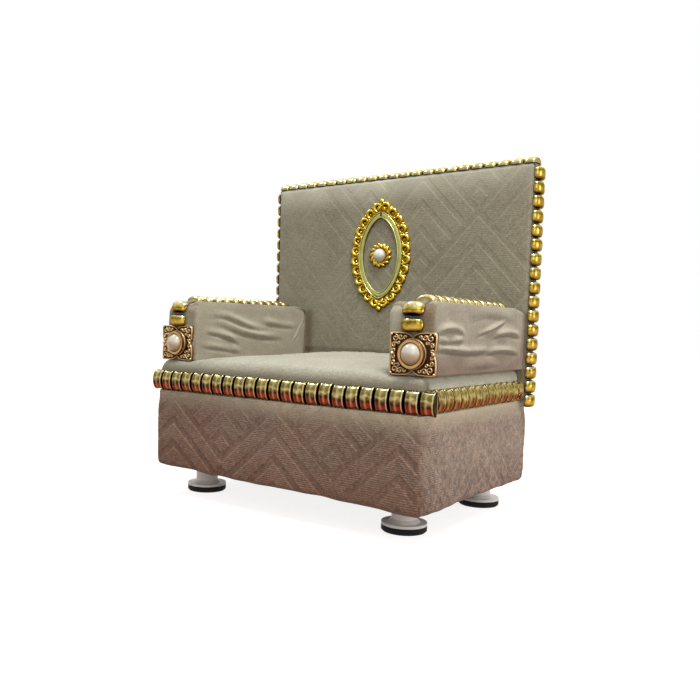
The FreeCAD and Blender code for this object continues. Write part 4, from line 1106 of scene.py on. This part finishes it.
def curled_rings(border, path, reach, nominal_pitch):
    """Rings along a closed path, each with a curled tongue inside and a bump on either side."""
    rng = np.random.default_rng(SEED)
    wall, gap, step, scatter, uneven, loop_points = 0.95, 0.85, 0.5, 0.12, 0.34, 20
    tongue, tongue_radii = ((0.9, -0.6), (0.2, 0.0), (-0.5, 0.5)), (0.5, 0.75, 0.55)
    bumps, bump_depth, bump_lift = ((0.52, 1.2), (-0.5, 1.15)), 1.05, 1.3
    places = np.concatenate([[0.0], np.cumsum(np.linalg.norm(np.roll(path, -1, 0) - path, axis=1))])
    closed = np.vstack([path, path[:1]])
    rings = 2 * int(round(places[-1] / (2 * nominal_pitch)))
    pitch = places[-1] / rings
    long_radius = pitch / 2 - gap
    for index in range(rings):
        spot = (index + 0.5) * pitch
        x, z = (np.interp(spot, places, closed[:, axis]) for axis in (0, 1))
        next_x, next_z = (np.interp(spot + step, places, closed[:, axis]) for axis in (0, 1))
        run = math.atan2(next_z - z, next_x - x)
        forward = np.array((math.cos(run), math.sin(run)))
        out = np.array((math.sin(run), -math.cos(run)))
        centre = np.array((x, z)) + rng.normal(0, scatter, 2)
        angles = np.linspace(0, FULL_TURN, loop_points, endpoint=False)
        weight = 1.0 + uneven * np.cos(angles + rng.uniform(0.4, 2.0))
        loop = ring_path(centre, long_radius, run, (reach - wall) / long_radius, loop_points)
        border.take(swept_wire(loop, weight, 10, closed=True, base=-0.4))
        curl = [centre + a * forward + b * out for a, b in tongue]
        border.take(swept_wire(curl, tongue_radii, 8, base=-0.6), 0.9)
        for share, size in bumps:
            bump = centre + 0.5 * pitch * forward + share * reach * out
            border.take(ball((bump[0], -bump_lift, bump[1]), (size, bump_depth, size), 6, 10))


def tip_ornaments(border, half_h):
    """A pair of beads and two leaves at the top and at the bottom of the oval."""
    lift, beads = 1.5, ((1.9, (1.75, 1.5, 1.9)), (4.6, (1.3, 1.2, 1.3)))
    leaf, leaf_radii = ((0.9, 4.4), (2.0, 6.2), (2.6, 8.6)), (0.7, 1.05, 0.8)
    for sign in (-1, 1):
        tip = sign * half_h
        for inset, radii in beads:
            border.take(ball((0, -lift, tip - sign * inset), radii, 8, 14))
        for hand in (-1, 1):
            line = [(hand * x, tip - sign * z) for x, z in leaf]
            border.take(swept_wire(line, leaf_radii, 10, base=-0.6))


def oval_piece():
    """The pointed oval frame: a satin inner band inside a border of curled rings."""
    wire, wire_lift, ground_thick, ring_pitch, seam_radius = 0.42, 2.0, 1.3, 6.3, 0.45
    move, half_w, half_h = seat_of("oval_brooch_frame")
    inner_w, inner_h = OVAL_OPENING
    inner = almond_path(inner_w, inner_h, OVAL_COUNT)
    outer = almond_path(inner_w + OVAL_BAND, inner_h + 1.3 * OVAL_BAND, OVAL_COUNT)
    satin = Heap()
    satin.take(ribbon_band(outer, inner, OVAL_THICK, 0.05))
    for share in (0.08, 0.9):
        satin.take(swept_wire(outer * (1 - share) + inner * share, wire, closed=True, base=-wire_lift))
    border = Heap()
    reach = (half_w - inner_w - OVAL_BAND) / 2 + 0.35
    ground = almond_path(half_w - 1.1, half_h - 3.4, OVAL_COUNT)
    ground_inner = almond_path(inner_w + 1.0, inner_h + 1.4, OVAL_COUNT)
    # The ground behind the rings is darkened by the gold: painted shade in the holes of the rings.
    border.take(ribbon_band(ground, ground_inner, ground_thick, 0.0), 0.3)
    curled_rings(border, almond_path(half_w - reach - 0.1, half_h - 5.2, 60), reach, ring_pitch)
    tip_ornaments(border, half_h)
    seam = Heap()
    seam_line = [(0.0, half_h - 3.0), (0.0, half_h - 7.0), (0.0, inner_h + 1.0)]
    seam.take(swept_wire(seam_line, seam_radius, 8, base=-2.2), 0.35)
    scrolls = border.make("oval_brooch_border", "bright", move)
    liner = satin.make("oval_brooch_band", "band", move)
    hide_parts("oval_brooch_frame")
    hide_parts("oval_brooch_frame")
    seam.make("oval_brooch_seam", "bright", move)


def rosette_piece():
    """A ring of rope-like petals round a cup."""
    petals, lean, root, tip, cup, cup_wire = 13, 0.85, 3.7, 0.7, 4.6, 0.55
    backing, backing_margin, bowed = 1.1, 1.2, 0.5
    strand = (0.7, 1.0, 1.2, 1.3, 1.3, 1.25, 1.1, 0.75)
    move, half_w, _ = seat_of("rosette")
    reach = half_w + 0.4
    heap = Heap()
    heap.take(ribbon_band(circle(reach - backing_margin, 44), circle(0.4, 44), backing, 0.0))
    shares = np.linspace(0, 1, len(strand))[:, None]
    for index in range(petals):
        angle = FULL_TURN * index / petals
        start = np.array((math.cos(angle), math.sin(angle))) * (reach - root)
        end = np.array((math.cos(angle + lean), math.sin(angle + lean))) * (reach - tip)
        bow = np.sin(np.pi * shares) * bowed * np.array((-math.sin(angle), math.cos(angle)))
        heap.take(swept_wire(start * (1 - shares) + end * shares + bow, strand, 10, base=-0.4))
    heap.take(swept_wire(circle(cup, 40), cup_wire, closed=True, base=-1.2))
    piece = heap.make("rosette_petals", "bright", move)
    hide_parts("rosette")


def pearl_piece(node, material):
    """A half pearl, slightly out of round."""
    move, radius, _ = seat_of(node)
    points, faces = ball((0, 0, 0), (radius, radius * 0.98, radius), 28, 40)
    points = np.array(points)
    points[:, 1] = np.minimum(points[:, 1], 0.0)
    heap = Heap()
    heap.take((points, faces))
    # Low towards the rim, where the pearl takes a painted reflection of its gold setting.
    heap.pile = list(eased(-points[:, 1] / radius, 0.12, 0.5))
    piece = heap.make(node + "_bead", material, move)
    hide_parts(node)


def square_rim(half_w, half_h, cusp):
    """The square's outline with a small pointed notch in the middle of each side."""
    corner = [(half_w - cusp, 0.0), (half_w - 0.3 * cusp, 1.3), (half_w - 0.2, 2.9), (half_w, half_h * 0.6),
              (half_w, half_h - 0.5), (half_w - 0.5, half_h), (half_w * 0.6, half_h), (3.4, half_h - 0.2),
              (1.5, half_h - 0.4 * cusp), (0.0, half_h - cusp)]
    upper = corner + [(-x, z) for x, z in corner[-2::-1]]
    return np.array(upper + [(x, -z) for x, z in upper[-2:0:-1]])


# A corner's scrolls: how far in from the side and from the top, then the radius and the turns
SCROLLS = ((2.9, 2.7, 1.55, 1.2), (2.3, 6.0, 1.15, 1.1), (5.8, 2.2, 1.25, 1.1), (2.0, 8.3, 0.85, 0.8),
           (8.4, 2.3, 0.95, 0.8), (4.8, 4.7, 0.85, 0.9))


def square_piece(side):
    """The square brooch: a notched rim, filigree scrolls on a dark ground, and a sloping collar."""
    move, half_w, half_h = seat_of(side + "_square_brooch")
    _, collar, _ = seat_of(side + "_pearl_bezel")
    rng = np.random.default_rng(SEED + 3)
    cusp, ground_thick, rim_wire, scroll_wire, collar_thick = 2.3, 0.5, 0.36, 0.34, 1.9
    heap = Heap()
    rim = square_rim(half_w, half_h, cusp)
    heap.take(ribbon_band(rim, rim * 0.42, ground_thick, 0.0), 0.0)
    heap.take(swept_wire(rim * 0.97, rim_wire, closed=True, flatten=2.2), 0.8)
    heap.take(ribbon_band(circle(collar * 1.10, 48), circle(collar * 1.01, 48), collar_thick, 0.1), 0.9)
    for sx in (-1, 1):
        for sz in (-1, 1):
            hand = sx * sz
            facing = math.atan2(sz, sx)
            for index, (from_side, from_top, radius, turns) in enumerate(SCROLLS):
                centre = (sx * (half_w - from_side), sz * (half_h - from_top))
                turn = facing + hand * (0.9 * index + 1.0) + rng.uniform(-0.3, 0.3)
                scroll = spiral(centre, turn, turns, radius * 1.12, hand * (-1) ** index, 18)
                heap.take(swept_wire(scroll, scroll_wire, 6, flatten=2.1, base=-0.4), 0.95)
            heap.take(ball((sx * (half_w - 1.0), -1.4, sz * (half_h - 1.0)), (0.7, 0.6, 0.7), 6, 8))
        heap.take(ball((sx * (half_w - 1.5), -1.6, 0), (0.9, 0.8, 1.0), 6, 10))
    piece = heap.make(side + "_square_filigree", "antique", move)
    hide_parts(side + "_square_brooch")


# CAD nodes that stay as they are

CAD_FINISH = {
    "tape": "tape", "lining": "lining", "board": "timber", "core": "timber", "blocks": "timber",
    "foot_": "white_plastic", "rubber_pad": "rubber", "screws": "steel", "bezel": "collar",
}


def finish_cad_nodes():
    """Give each solid that stays a material: the last in the table whose word its name holds."""
    for name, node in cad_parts.items():
        matches = [material for word, material in CAD_FINISH.items() if word in name]
        if matches:
            node.data.materials.clear()
            node.data.materials.append(MATERIALS[matches[-1]])


make_camera()
make_light()
make_floor()
base_piece()
seat_piece()
back_piece()
lining_piece()
for arm_side, arm_sign in SIDES:
    arm_piece(arm_side, arm_sign)
    square_piece(arm_side)
    pearl_piece(arm_side + "_arm_pearl", "pearl")
all_beads()
oval_piece()
rosette_piece()
pearl_piece("rosette_pearl", "white_pearl")
finish_cad_nodes()

bpy.context.scene.view_settings.view_transform = "Standard"
